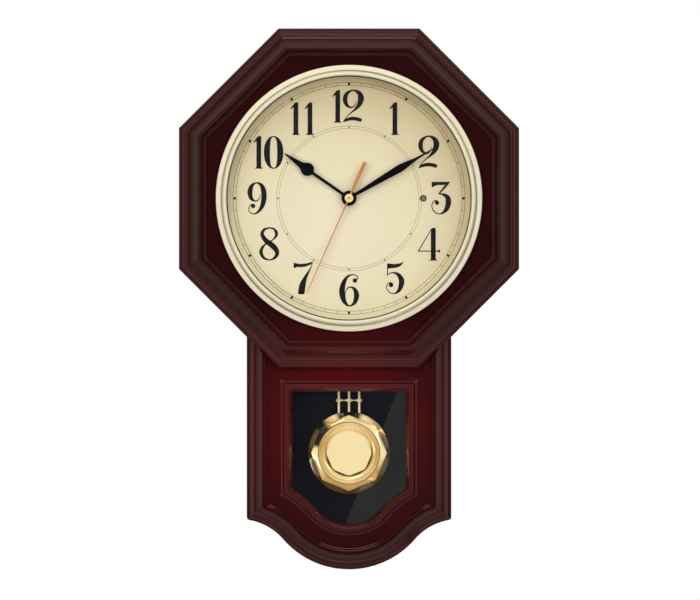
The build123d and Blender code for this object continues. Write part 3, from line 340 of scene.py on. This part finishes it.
def eased(points, steps=4):
    """A smooth line through points."""
    line = []
    padded = [points[0]] + points + [points[-1]]
    for k in range(len(points) - 1):
        a, b, c, d = padded[k:k + 4]
        for j in range(steps):
            t = j / steps
            line.append(tuple(0.5 * (2 * q + (r - p) * t + (2 * p - 5 * q + 4 * r - s) * t * t
                                     + (3 * q - p - 3 * r + s) * t ** 3)
                              for p, q, r, s in zip(a, b, c, d)))
    return line + [points[-1]]


# ------------------------------------------------------------------ octagonal frame
def octagon(inset, corner, arc=6, side=8):
    """Points round an octagon with rounded corners."""
    reach = HALF_HEAD - inset
    ends = []
    for k in range(8):
        middle = 22.5 + 45 * k
        cx, cz = away(middle, (reach - corner) / math.cos(math.pi / 8))
        turn = [away(middle - 22.5 + 45 * j / arc, corner) for j in range(arc + 1)]
        ends.append([(cx + x, cz + z) for x, z in turn])
    ring = []
    for k in range(8):
        ring += ends[k]
        (x0, z0), (x1, z1) = ends[k][-1], ends[(k + 1) % 8][0]
        ring += [(x0 + (x1 - x0) * j / side, z0 + (z1 - z0) * j / side) for j in range(1, side)]
    return ring[::-1]


def opening(radius):
    return [away(math.degrees(math.atan2(z, x)), radius) for x, z in octagon(27, 4)]


walnut = SLOTS["walnut_case"]
cove = eased([(6.6, 47.8), (8.6, 48.4), (11.2, 50.2), (14.2, 53.3), (16.4, 56.2), (17.5, 57.7)], 5)
head_profile = [(0, 30), (0, 43.4), (0.4, 44.2), (2.9, 46.8), (3.5, 47.1), (6.0, 47.4)] + cove + [
    (18.2, 58.5), (18.9, 58.9), (19.6, 59), (20.3, 58.8), (20.8, 58.2), (21.3, 56.8), (21.6, 55.2),
    (21.9, 54.6), (22.4, 54.4), (23.0, 54.7), (23.7, 55.1), (24.5, 55.2), (25.3, 55.0), (25.9, 54.4),
    (26.4, 53.2), (26.9, 52.0)]
head_back = [(24.5, 49.6), (23.2, 51.8), (19.4, 52.2), (16.4, 51), (12.4, 47.2), (8.8, 45.2), (5.6, 44.6),
             (2.4, 41.6), (2.4, 30)]


def head_corner(inset):
    return 1.2 + 3.4 * min(1.0, max(0.0, inset / 18.0))


rings = [level(octagon(inset, head_corner(inset)), depth) for inset, depth in head_profile]
rings += [level(opening(118.0), 52.0), level(opening(118.0), 52.0 - WALL)]
rings += [level(octagon(inset, head_corner(inset)), depth) for inset, depth in head_back]
head = sweep("octagon_moulding", rings, walnut, "walnut_case")
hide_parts("octagon_frame")


# ------------------------------------------------------------------ lower case
def case_side(inset, top, corner=3.0):
    """Right-hand half of the case's outline, from the top of its side to the middle of its foot."""
    half = HALF_CASE - inset
    hollow, foot = COVE_R + inset, FOOT_R - inset
    cx = half - corner
    cz = COVE_Z + math.sqrt((hollow + corner) ** 2 - (COVE_X - cx) ** 2)
    line = [(half, top), (half, (top + cz) / 2)]
    start = math.degrees(math.atan2(cz - COVE_Z, cx - COVE_X)) - 180
    line += [(cx + x, cz + z) for x, z in (away((start) * j / 6, corner) for j in range(7))]
    first = math.degrees(math.atan2(cz - COVE_Z, cx - COVE_X))
    last = math.degrees(math.atan2(FOOT_Z - COVE_Z, -COVE_X))
    for j in range(1, 19):
        x, z = away(first + (last - first) * j / 18, hollow)
        line.append((COVE_X + x, COVE_Z + z))
    begin = math.degrees(math.atan2(COVE_Z - FOOT_Z, COVE_X))
    for j in range(1, 25):
        x, z = away(begin + (-90 - begin) * j / 24, foot)
        line.append((x, FOOT_Z + z))
    return line


def whole(side):
    return side + [(-x, z) for x, z in side[-2::-1]]


def under_head(x):
    """Where the octagon's edge crosses a height, with the seam's gap."""
    return max(-HALF_HEAD, x - math.sqrt(2) * HALF_HEAD) - 0.4


def case_ring(inset):
    return whole(case_side(inset, under_head(HALF_CASE - inset)))


hollow = eased([(6.4, 38.9), (8.2, 39.7), (10.4, 41.8), (12.0, 43.9), (12.9, 45.2)], 5)
case_profile = [(0, 30), (0, 36.1), (0.3, 36.7), (2.9, 38.3), (3.4, 38.5), (5.9, 38.7)] + hollow + [
    (13.4, 45.9), (13.9, 46.4), (14.5, 46.5), (15.1, 46.2), (15.5, 45.5), (15.9, 44.2), (16.3, 43.3),
    (16.8, 43.0), (17.4, 43.0), (18.0, 42.6), (18.6, 41.8), (19.2, 40.3), (19.6, 40)]
case_back = [(19.6, 37.6), (17.6, 38), (15.4, 40.4), (14.2, 41.4), (11.4, 38.6), (8.4, 36.4), (5.6, 36),
             (2.4, 34.1), (2.4, 30)]
rings = [level(case_ring(inset), depth) for inset, depth in case_profile + case_back]
case_moulding = sweep("case_moulding", rings, walnut, "walnut_case", looped=False)


def window_ring(inset):
    top = WINDOW_TOP + WINDOW_INSET - inset
    half, soft = HALF_CASE - inset, 2.0
    side = case_side(inset, top - soft)
    turn = [(half - soft + x, top - soft + z) for x, z in (away(90 - 15 * j, soft) for j in range(6))]
    return whole(turn + side)


bead_profile = [(30.4, 37.6), (30.4, 40.5), (31.0, 40.9), (32.8, 40.9), (33.4, 41.2), (34.0, 42.6),
                (34.8, 43.7), (35.9, 44.3), (37.0, 44.4), (38.0, 44.1), (38.9, 43.3), (39.6, 42.2),
                (42.0, 37.6)]
rings = [level(window_ring(inset), depth) for inset, depth in bead_profile]
sweep("window_bead", rings, walnut, "walnut_case", sharp=30)

panel_side = case_side(19.6, under_head(HALF_CASE - 19.6))
corner_x = HALF_HEAD * math.tan(math.pi / 8)
panel_edge = whole([(corner_x, -HALF_HEAD - 0.4)] + panel_side)
plate("case_panel", [panel_edge, window_ring(30.4)], 37.6, 40.0, walnut, "walnut_case")
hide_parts("lower_case_frame")

# ------------------------------------------------------------------ bezel
bezel = lathe("bezel_turned", [
    (113.7, 49.6), (118, 49.6), (118, 52), (122.2, 52), (122.5, 52.4), (122.5, 56.0), (122.2, 56.9),
    (121.6, 57.3), (120, 57.7), (118.3, 57.8), (117.8, 57.4), (117.6, 54.2), (116.8, 54.2),
    (116.5, 60.0), (116.1, 61.6),
    (115.5, 62.7), (114.8, 63.3), (114.0, 63.5), (113.3, 63.2), (112.8, 62.5), (112.5, 61.5), (112.3, 60.6),
    (113.7, 60.5)], SLOTS["pale_gold"], "pale_gold", segments=240)
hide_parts("bezel_ring")
# A black ring round the edge of the glass, drawn as a seal: painted shadow line where the glass meets the
# bezel.
lathe("glass_edge_painted_shadow", [(111.5, 60.55), (112.4, 60.55), (112.4, 61.2), (111.8, 61.2)],
      SLOTS["rubber_black"], "rubber_black", segments=240)


# ------------------------------------------------------------------ bob
def lobed(flat, tip, count=160):
    """A ring with eight soft flats."""
    ring = []
    for j in range(count):
        angle = -360 * j / count
        off = (angle % 45) - 22.5
        ring.append(away(angle, min(tip, flat / math.cos(math.radians(off)))))
    return [(x, BOB_Z + z) for x, z in ring]


def round_ring(radius, count=160):
    return [(x, BOB_Z + z) for x, z in (away(-360 * j / count, radius) for j in range(count))]


# The bob's tones are painted reflections: pale lit tones and dark, olive reflections placed round it by
# angle.
pale_lit_tone, gold, olive_reflection_tone, dark_reflection_tone = srgb(255, 226, 164), srgb(214, 170, 88), srgb(84, 60, 10), srgb(34, 26, 12)
rim_painted_reflections = turned_gold("bob_rim", [
    (0.0, olive_reflection_tone), (1.0, olive_reflection_tone), (0.34, olive_reflection_tone), (0.37, dark_reflection_tone), (0.385, dark_reflection_tone), (0.41, gold), (0.44, pale_lit_tone),
    (0.46, dark_reflection_tone), (0.54, dark_reflection_tone), (0.56, pale_lit_tone), (0.64, gold), (0.68, olive_reflection_tone)])
face_painted_reflections = turned_gold("bob_face", [
    (0.0, gold), (1.0, gold), (0.12, gold), (0.19, pale_lit_tone), (0.27, pale_lit_tone), (0.29, dark_reflection_tone), (0.385, dark_reflection_tone),
    (0.41, gold), (0.56, pale_lit_tone), (0.8, pale_lit_tone), (0.84, gold)])
ring_painted_reflections = turned_gold("bob_ring", [(0.0, pale_lit_tone), (1.0, pale_lit_tone), (0.3, gold), (0.5, pale_lit_tone), (0.75, gold)])
dish_painted_reflections = turned_gold("bob_dish", [
    (0.0, olive_reflection_tone), (1.0, olive_reflection_tone), (0.2, olive_reflection_tone), (0.3, pale_lit_tone), (0.68, pale_lit_tone), (0.75, olive_reflection_tone)])
rim = sweep("bob_rim", [level(round_ring(r), d) for r, d in (
    (32.2, 23.4), (35.2, 22.0), (38.2, 22.0), (38.2, 23.2), (38.0, 24.0), (37.4, 24.7))]
    + [level(lobed(32.6, 35.6), 26.3), level(round_ring(31.0), 26.2)],
    rim_painted_reflections, "bright_gold", body="pendulum")
sweep("bob_bevel", [level(round_ring(29.0), 25.6), level(lobed(32.6, 35.6), 26.3),
                    level(lobed(32.2, 35.1), 26.7), level(round_ring(29.6), 27.9),
                    level(round_ring(29.0), 28.0)],
      face_painted_reflections, "bright_gold", body="pendulum")
# A black ring laid between the bevel and the milled ring: painted shade of the groove there.
lathe("bob_groove_painted_shade", [(28.2, 27.1), (29.3, 27.1), (29.3, 27.6), (28.2, 27.6)],
      SLOTS["hand_black"], "bright_gold",
      centre=(0, BOB_Z), body="pendulum")
lathe("bob_ring", [(21.2, 24.4), (28.5, 24.4), (28.5, 27.7), (28.2, 28.0), (26.6, 28.0), (26.2, 27.6),
                   (25.6, 27.6), (25.2, 28.0), (23.6, 27.8), (22.2, 27.0)], ring_painted_reflections, "bright_gold",
             centre=(0, BOB_Z), body="pendulum")
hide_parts("bob_shell")


dish = sweep("bob_dish", [level(round_ring(2.0), 24.4), level(round_ring(21.6), 24.4),
                          level(round_ring(21.6), 25.4), level(lobed(19.6, 20.6), 26.6),
                          level(round_ring(2.0), 26.6)],
             dish_painted_reflections, "bright_gold", body="pendulum")
plate("bob_centre", [lobed(19.6, 20.6)], 26.3, 26.65, SLOTS["bright_gold"], "bright_gold", body="pendulum")
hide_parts("bob_disc")

# ------------------------------------------------------------------ dial print
def ribbon(line):
    """A flat stroke with changing width; line is (x, z, width) points."""
    line = eased(line, 8)
    vertices, faces = [], []
    for k, (x, z, width) in enumerate(line):
        x0, z0, _ = line[max(0, k - 1)]
        x1, z1, _ = line[min(len(line) - 1, k + 1)]
        length = math.hypot(x1 - x0, z1 - z0) or 1.0
        nx, nz = (z1 - z0) / length * width / 2, -(x1 - x0) / length * width / 2
        vertices += [point(x + nx, z + nz, PRINT_DEPTH), point(x - nx, z - nz, PRINT_DEPTH)]
        if k:
            faces.append((2 * k - 2, 2 * k, 2 * k + 1, 2 * k - 1))
    return vertices, faces


def area(outline):
    """A flat filled shape that is star-like round its middle."""
    middle = (sum(x for x, _ in outline) / len(outline), sum(z for _, z in outline) / len(outline))
    vertices = [point(*middle, PRINT_DEPTH)] + [point(x, z, PRINT_DEPTH) for x, z in outline]
    count = len(outline)
    return vertices, [(0, 1 + k, 1 + (k + 1) % count) for k in range(count)]


def dot(x, z, radius, sides=20):
    return area([(x + dx, z + dz) for dx, dz in (away(360 * k / sides, radius) for k in range(sides))])


def band(inner, outer):
    """The space between two loops of equal counts."""
    count = len(inner)
    vertices = [point(x, z, PRINT_DEPTH) for x, z in inner + outer]
    faces = [(k, (k + 1) % count, count + (k + 1) % count, count + k) for k in range(count)]
    return vertices, faces


def printed(name, shapes, material=ink):
    """Join flat shapes into one print and turn every face to the front."""
    vertices, faces = [], []
    for some, sides in shapes:
        base = len(vertices)
        vertices += some
        for side in sides:
            a, b, c = (some[k] for k in side[:3])
            facing = (b - a).cross(c - b).y < 0
            side = [base + k for k in side]
            faces.append(side if facing else side[::-1])
    return mesh_piece(name, vertices, faces, material, "dial_print")


def one():
    return 6.6, [area([(1.0, 1.4), (5.4, 1.4), (5.4, 29.6), (4.6, 30.1), (3.2, 30.1), (1.0, 28.6)]),
                 area([(3.6, 30.1), (0.6, 27.6), (-1.5, 25.0), (-1.7, 24.0), (-0.9, 23.9), (0.2, 25.0),
                       (1.4, 25.4)]),
                 area([(-0.3, 0), (6.7, 0), (6.7, 0.5), (5.4, 1.6), (1.0, 1.6), (-0.3, 0.5)])]


def two():
    return 19.4, [ribbon([(12.2, 20.6, 0.3), (11.7, 17.2, 0.7), (9.6, 14.6, 1.2), (6.5, 14.2, 1.8),
                               (3.4, 16.8, 3.3), (2.2, 21.5, 4.3), (3.8, 26.7, 3.3), (9.5, 29.9, 1.4),
                               (15.1, 27.2, 4.0), (16.8, 22.3, 5.6), (15.2, 16.8, 4.2), (11.6, 12.4, 2.2),
                               (7.0, 8.6, 1.1), (3.2, 4.9, 0.8), (1.0, 1.2, 0.8)]),
                  ribbon([(0.4, 0.6, 0.9), (3.4, 2.5, 2.6), (8.6, 3.8, 3.3), (13.6, 3.2, 3.4),
                               (17.4, 2.0, 3.0)])]


def three():
    return 18.6, [area([(0.7, 30.2), (17.7, 30.2), (12.2, 27.2), (2.6, 27.2), (1.4, 25.2), (0.7, 25.2)]),
                  ribbon([(17.2, 30.0, 1.0), (13.6, 26.4, 2.1), (7.4, 19.2, 1.3)]),
                  ribbon([(7.0, 18.9, 0.5), (11.2, 18.6, 2.2), (15.2, 15.9, 4.4), (16.1, 11.4, 5.2),
                               (14.8, 6.0, 4.3), (11.7, 2.2, 2.5), (7.9, 0.7, 1.1), (3.6, 2.3, 1.0),
                               (0.9, 7.0, 0.9), (1.9, 11.4, 0.9), (4.6, 13.1, 0.8), (6.4, 12.2, 0.8)]),
                  dot(5.6, 11.0, 2.05)]


def four():
    return 20.8, [area([(12.4, 1.4), (16.9, 1.4), (16.9, 29.4), (15.6, 30.4), (13.8, 30.2), (12.4, 28.6)]),
                  area([(11.0, 0), (18.2, 0), (18.2, 0.5), (16.9, 1.6), (12.4, 1.6), (11.0, 0.5)]),
                  area([(13.4, 30.0), (12.4, 29.0), (0.1, 8.4), (1.7, 9.0), (13.0, 28.6)]),
                  area([(0.1, 8.3), (19.0, 8.3), (19.0, 9.2), (0.6, 9.3)]),
                  area([(17.6, 8.8), (20.8, 10.7), (20.8, 6.9)])]


def five():
    return 16.9, [ribbon([(1.6, 26.0, 5.2), (4.6, 26.1, 4.2), (8.4, 26.1, 3.6), (12.6, 27.2, 2.8),
                               (16.4, 29.8, 0.4)]),
                  ribbon([(1.6, 28.0, 0.9), (1.5, 17.2, 0.9)]),
                  ribbon([(1.1, 17.0, 0.3), (3.0, 18.8, 0.9), (6.3, 19.9, 1.2), (10.8, 18.6, 3.0),
                               (13.9, 14.6, 4.7), (14.5, 10.6, 5.0), (13.0, 5.2, 3.9), (10.2, 1.8, 2.2),
                               (7.0, 0.6, 1.0), (3.1, 2.0, 0.9), (0.6, 6.3, 0.8), (1.8, 10.0, 0.8),
                               (4.4, 10.9, 0.7), (5.6, 10.2, 0.7)]),
                  dot(4.8, 8.7, 2.15)]


def six():
    return 18.9, [ribbon([(15.8, 25.2, 1.2), (17.4, 26.0, 1.0), (16.6, 28.3, 0.9), (12.7, 29.4, 1.1),
                               (7.7, 27.2, 2.4), (4.2, 20.9, 4.4), (3.0, 13.4, 5.4), (4.6, 6.0, 4.4),
                               (7.4, 1.9, 2.4), (10.2, 0.6, 1.2)]),
                  dot(14.9, 24.0, 2.1),
                  ribbon([(6.0, 9.2, 0.2), (6.3, 13.2, 0.7), (8.2, 16.9, 1.1), (11.3, 18.0, 1.4),
                               (14.8, 15.6, 3.4), (16.4, 10.2, 4.9), (15.0, 4.4, 3.7), (12.2, 1.4, 2.0),
                               (10.0, 0.6, 1.2)])]


def seven():
    return 17.8, [area([(0.2, 29.2), (5.4, 28.0), (11.4, 28.3), (17.9, 30.1), (16.4, 27.6), (11.8, 25.5),
                        (6.0, 24.8), (2.2, 25.6), (1.3, 24.1), (0.3, 24.1)]),
                  ribbon([(17.6, 29.6, 0.7), (16.6, 25.9, 0.9), (14.2, 21.0, 1.7), (11.0, 15.3, 3.4),
                               (8.5, 8.6, 5.6), (7.3, 1.2, 6.2)]),
                  dot(5.6, 1.4, 1.4), dot(9.0, 1.4, 1.4), area([(5.6, 0), (9.0, 0), (9.0, 2.4), (5.6, 2.4)])]


def eight():
    return 19.2, [ribbon([(9.9, 30.2, 1.3), (5.0, 28.6, 2.4), (2.9, 24.4, 3.4), (6.0, 18.9, 4.4),
                               (10.8, 15.2, 5.2), (15.2, 10.9, 4.8), (16.8, 6.9, 3.8), (14.6, 2.6, 2.5),
                               (9.7, 0.7, 1.3), (4.4, 2.7, 2.5), (1.9, 7.9, 3.2), (3.9, 13.0, 2.2),
                               (7.8, 16.2, 1.1), (12.4, 19.0, 1.2), (15.7, 22.6, 2.4), (15.9, 26.2, 2.9),
                               (13.6, 29.2, 1.9), (9.9, 30.2, 1.3)])]


def nine():
    return 17.9, [ribbon([(11.8, 19.4, 0.2), (11.4, 16.0, 0.7), (9.7, 13.3, 1.1), (6.9, 12.6, 1.5),
                               (3.6, 15.1, 3.4), (2.4, 20.6, 4.7), (4.0, 26.2, 3.5), (8.2, 29.3, 1.3),
                               (13.2, 26.7, 3.6), (15.3, 19.6, 5.0), (14.6, 10.9, 4.5), (11.2, 3.8, 2.6),
                               (6.0, 0.6, 1.1), (1.8, 3.0, 0.9), (1.7, 7.4, 0.8), (4.0, 9.8, 0.7)]),
                  dot(5.3, 8.0, 2.15)]


def nought():
    def oval(half, tall, bluff):
        ring = []
        for k in range(64):
            x, z = away(360 * k / 64, 1.0)
            across = half * math.copysign(abs(x) ** bluff, x)
            ring.append((9.0 + across, 15.0 + tall * math.copysign(abs(z) ** bluff, z)))
        return ring
    return 18.0, [band(oval(3.3, 14.0, 0.72), oval(9.0, 15.1, 0.96))]


DIGITS = [nought, one, two, three, four, five, six, seven, eight, nine]
NUMERAL_R, TIGHT = 84.7, 1.2
for hour in range(1, 13):
    glyphs = [DIGITS[int(c)]() for c in str(hour)]
    gap = 6.4 if hour == 11 else TIGHT
    width = sum(w for w, _ in glyphs) + gap * (len(glyphs) - 1)
    cx, cz = away(90 - 30 * hour, NUMERAL_R)
    left, shapes = cx - width / 2, []
    for wide, strokes in glyphs:
        shift = Vector((left * MM, 0, (cz - 15.0) * MM))
        shapes += [([v + shift for v in some], sides) for some, sides in strokes]
        left += wide + gap
    printed("numeral_%d" % hour, shapes)


def circle(radius, width, count=240):
    inner = [away(360 * k / count, radius - width / 2) for k in range(count)]
    outer = [away(360 * k / count, radius + width / 2) for k in range(count)]
    return band(inner, outer)


def square(angle, radius, size, tall=None):
    """A mark on a spoke."""
    ux, uz = away(angle, 1.0)
    a, b = (tall or size) / 2, size / 2
    return area([((radius + s * a) * ux - t * b * uz, (radius + s * a) * uz + t * b * ux)
                 for s, t in ((-1, -1), (1, -1), (1, 1), (-1, 1))])


printed("minute_track", [circle(104.0, 0.34), circle(106.8, 0.34), circle(64.4, 0.26), circle(66.7, 0.26)]
        + [square(6 * k, 105.4, 0.34, 2.8) for k in range(60)], fine_ink)
printed("hour_marks", [square(30 * k, 105.4, 2.2) for k in range(12)]
        + [square(30 * k, 65.55, 1.25) for k in range(12)])

# ------------------------------------------------------------------ light sensor
# The black ring round the sensor is painted shade: it stands for the shadow in the dial's hole around the
# sensor.
lathe("sensor_hole_painted_shade", [(2.15, 49.3), (3.04, 49.3), (3.04, 49.9), (2.8, 50.1), (2.15, 50.0)],
      SLOTS["movement_black"], "sensor", centre=(SENSOR_X, 0.0), segments=40)

# ------------------------------------------------------------------ cap over the hands' hub
CAP = DIAL_FRONT + 6.1
cap = lathe("cap_turned", [
    (0.8, CAP), (3.9, CAP), (3.9, CAP + 0.7), (3.6, CAP + 0.85), (3.3, CAP + 0.85), (3.2, CAP + 1.0),
    (3.0, CAP + 1.3), (2.4, CAP + 1.45), (1.5, CAP + 1.5), (1.25, CAP + 1.4), (1.05, CAP + 0.9),
    (0.8, CAP + 0.9)], SLOTS["brass"], "brass", segments=48, body=HUB_BODY)
lathe("cap_dimple", [(0.2, CAP + 0.8), (1.1, CAP + 0.8), (1.1, CAP + 0.95), (0.2, CAP + 1.0)],
      SLOTS["hand_copper"], "brass", segments=32, body=HUB_BODY)
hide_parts("hand_cap")

# ------------------------------------------------------------------ small edges of the CAD pieces
for name, width in (("hour_hand", 0.12), ("minute_hand", 0.12), ("second_hand", 0.12), ("bush_nut", 0.2),
                    ("gridiron_bar", 0.4), ("gridiron_collar", 0.3), ("movement_rear_case", 0.4),
                    ("melody_case", 0.4), ("setting_knob", 0.2), ("head_back_shell", 0.5),
                    ("case_back_shell", 0.5)):
    edge = frame["nodes"][name].modifiers.new("edge", "BEVEL")
    edge.width = width * MM
    edge.segments = 2
    edge.limit_method = "ANGLE"
    edge.angle_limit = math.radians(40)
for name in ("dial_glass", "window_glass"):
    frame["nodes"][name].visible_shadow = False


# ------------------------------------------------------------------ light, floor and camera
def soft_box(name, place, target, wide, tall, watts, mirrored=True):
    """An area light; one that isn't mirrored is left out of glossy reflections."""
    light = bpy.data.lights.new(name, "AREA")
    light.shape = "RECTANGLE"
    light.size, light.size_y = wide, tall
    light.energy = watts
    lamp = bpy.data.objects.new(name, light)
    bpy.context.scene.collection.objects.link(lamp)
    lamp.location = place
    lamp.rotation_euler = (Vector(target) - Vector(place)).to_track_quat("-Z", "Y").to_euler()
    lamp.visible_glossy = mirrored
    lamp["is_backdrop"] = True


MIDDLE = (0.0, 0.0, -0.2)
soft_box("above", (0.0, -0.7, 1.3), MIDDLE, 1.6, 0.3, 5)
soft_box("below", (0.0, -0.7, -1.2), MIDDLE, 1.4, 0.2, 0.8)
for k in range(4):
    across, up = away(22.5 + 90 * k, 1.35)
    soft_box("key_%d" % k, (across, -1.6, up - 0.2), MIDDLE, 0.5, 0.5, 6.4, mirrored=False)

world = bpy.data.worlds.new("studio")
bpy.context.scene.world = world
world.use_nodes = True
tree = world.node_tree
sky = tree.nodes["Background"]
where = tree.nodes.new("ShaderNodeTexCoord")
parts = tree.nodes.new("ShaderNodeSeparateXYZ")
joined(tree, where.outputs["Generated"], parts.inputs["Vector"])
stops = [(0.0, (0.02, 0.025, 0.05, 1)), (1.0, (0.45, 0.45, 0.45, 1)), (0.03, (0.02, 0.025, 0.05, 1)),
         (0.06, (1.0, 1.0, 1.0, 1)), (0.16, (1.0, 1.0, 1.0, 1)), (0.25, (0.12, 0.12, 0.12, 1)),
         (0.64, (0.22, 0.22, 0.22, 1))]
shade = ramp(tree, parts.outputs["Y"], -1.0, 0.1, stops)
joined(tree, shade, sky.inputs["Color"])
white = tree.nodes.new("ShaderNodeBackground")
white.inputs["Color"].default_value = (1, 1, 1, 1)
path = tree.nodes.new("ShaderNodeLightPath")
pick = tree.nodes.new("ShaderNodeMixShader")
joined(tree, path.outputs["Is Camera Ray"], pick.inputs["Fac"])
joined(tree, sky.outputs["Background"], pick.inputs[1])
joined(tree, white.outputs["Background"], pick.inputs[2])
joined(tree, pick.outputs["Shader"], tree.nodes["World Output"].inputs["Surface"])

card_mesh = bpy.data.meshes.new("card")
corners = [(0.092, -0.386), (0.13, -0.386), (0.13, -0.645), (-0.008, -0.645)]
card_mesh.from_pydata([(x, -3.3, z) for x, z in corners], [], [(0, 1, 2, 3)])
card = bpy.data.objects.new("card", card_mesh)
bpy.context.scene.collection.objects.link(card)
glow = finish("card_glow", (0.5, 0.5, 0.5, 1), 0.8)
glow.node_tree.nodes["Principled BSDF"].inputs["Emission Color"].default_value = (1, 1, 1, 1)
glow.node_tree.nodes["Principled BSDF"].inputs["Emission Strength"].default_value = 0.045
card_mesh.materials.append(glow)
card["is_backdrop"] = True

bpy.ops.mesh.primitive_grid_add(x_subdivisions=8, y_subdivisions=8, size=5.0, location=(0, 0, -1.3))
floor = bpy.context.object
floor.name = "floor"
floor.data.materials.append(finish("floor_paint", (0.6, 0.6, 0.6, 1), 0.7, grain=20))
floor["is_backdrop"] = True

camera = bpy.data.objects.new("camera", bpy.data.cameras.new("camera"))
bpy.context.scene.collection.objects.link(camera)
camera.location = (0.0009, -3.05, -0.2116)
camera.rotation_euler = (math.pi / 2, 0, 0)
camera.data.lens = 36 * 3.0 / 0.6446
camera.data.clip_start = 0.05
bpy.context.scene.camera = camera
bpy.context.scene.view_settings.view_transform = "Standard"


def listed(value):
    return [list(x) if hasattr(x, "__len__") else x for x in value]


def plain(value):
    """Vectors and tuples as plain lists."""
    return json.loads(json.dumps(value, default=listed))


{"after_load": plain(loaded_box), "before_finish": plain(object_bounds())}
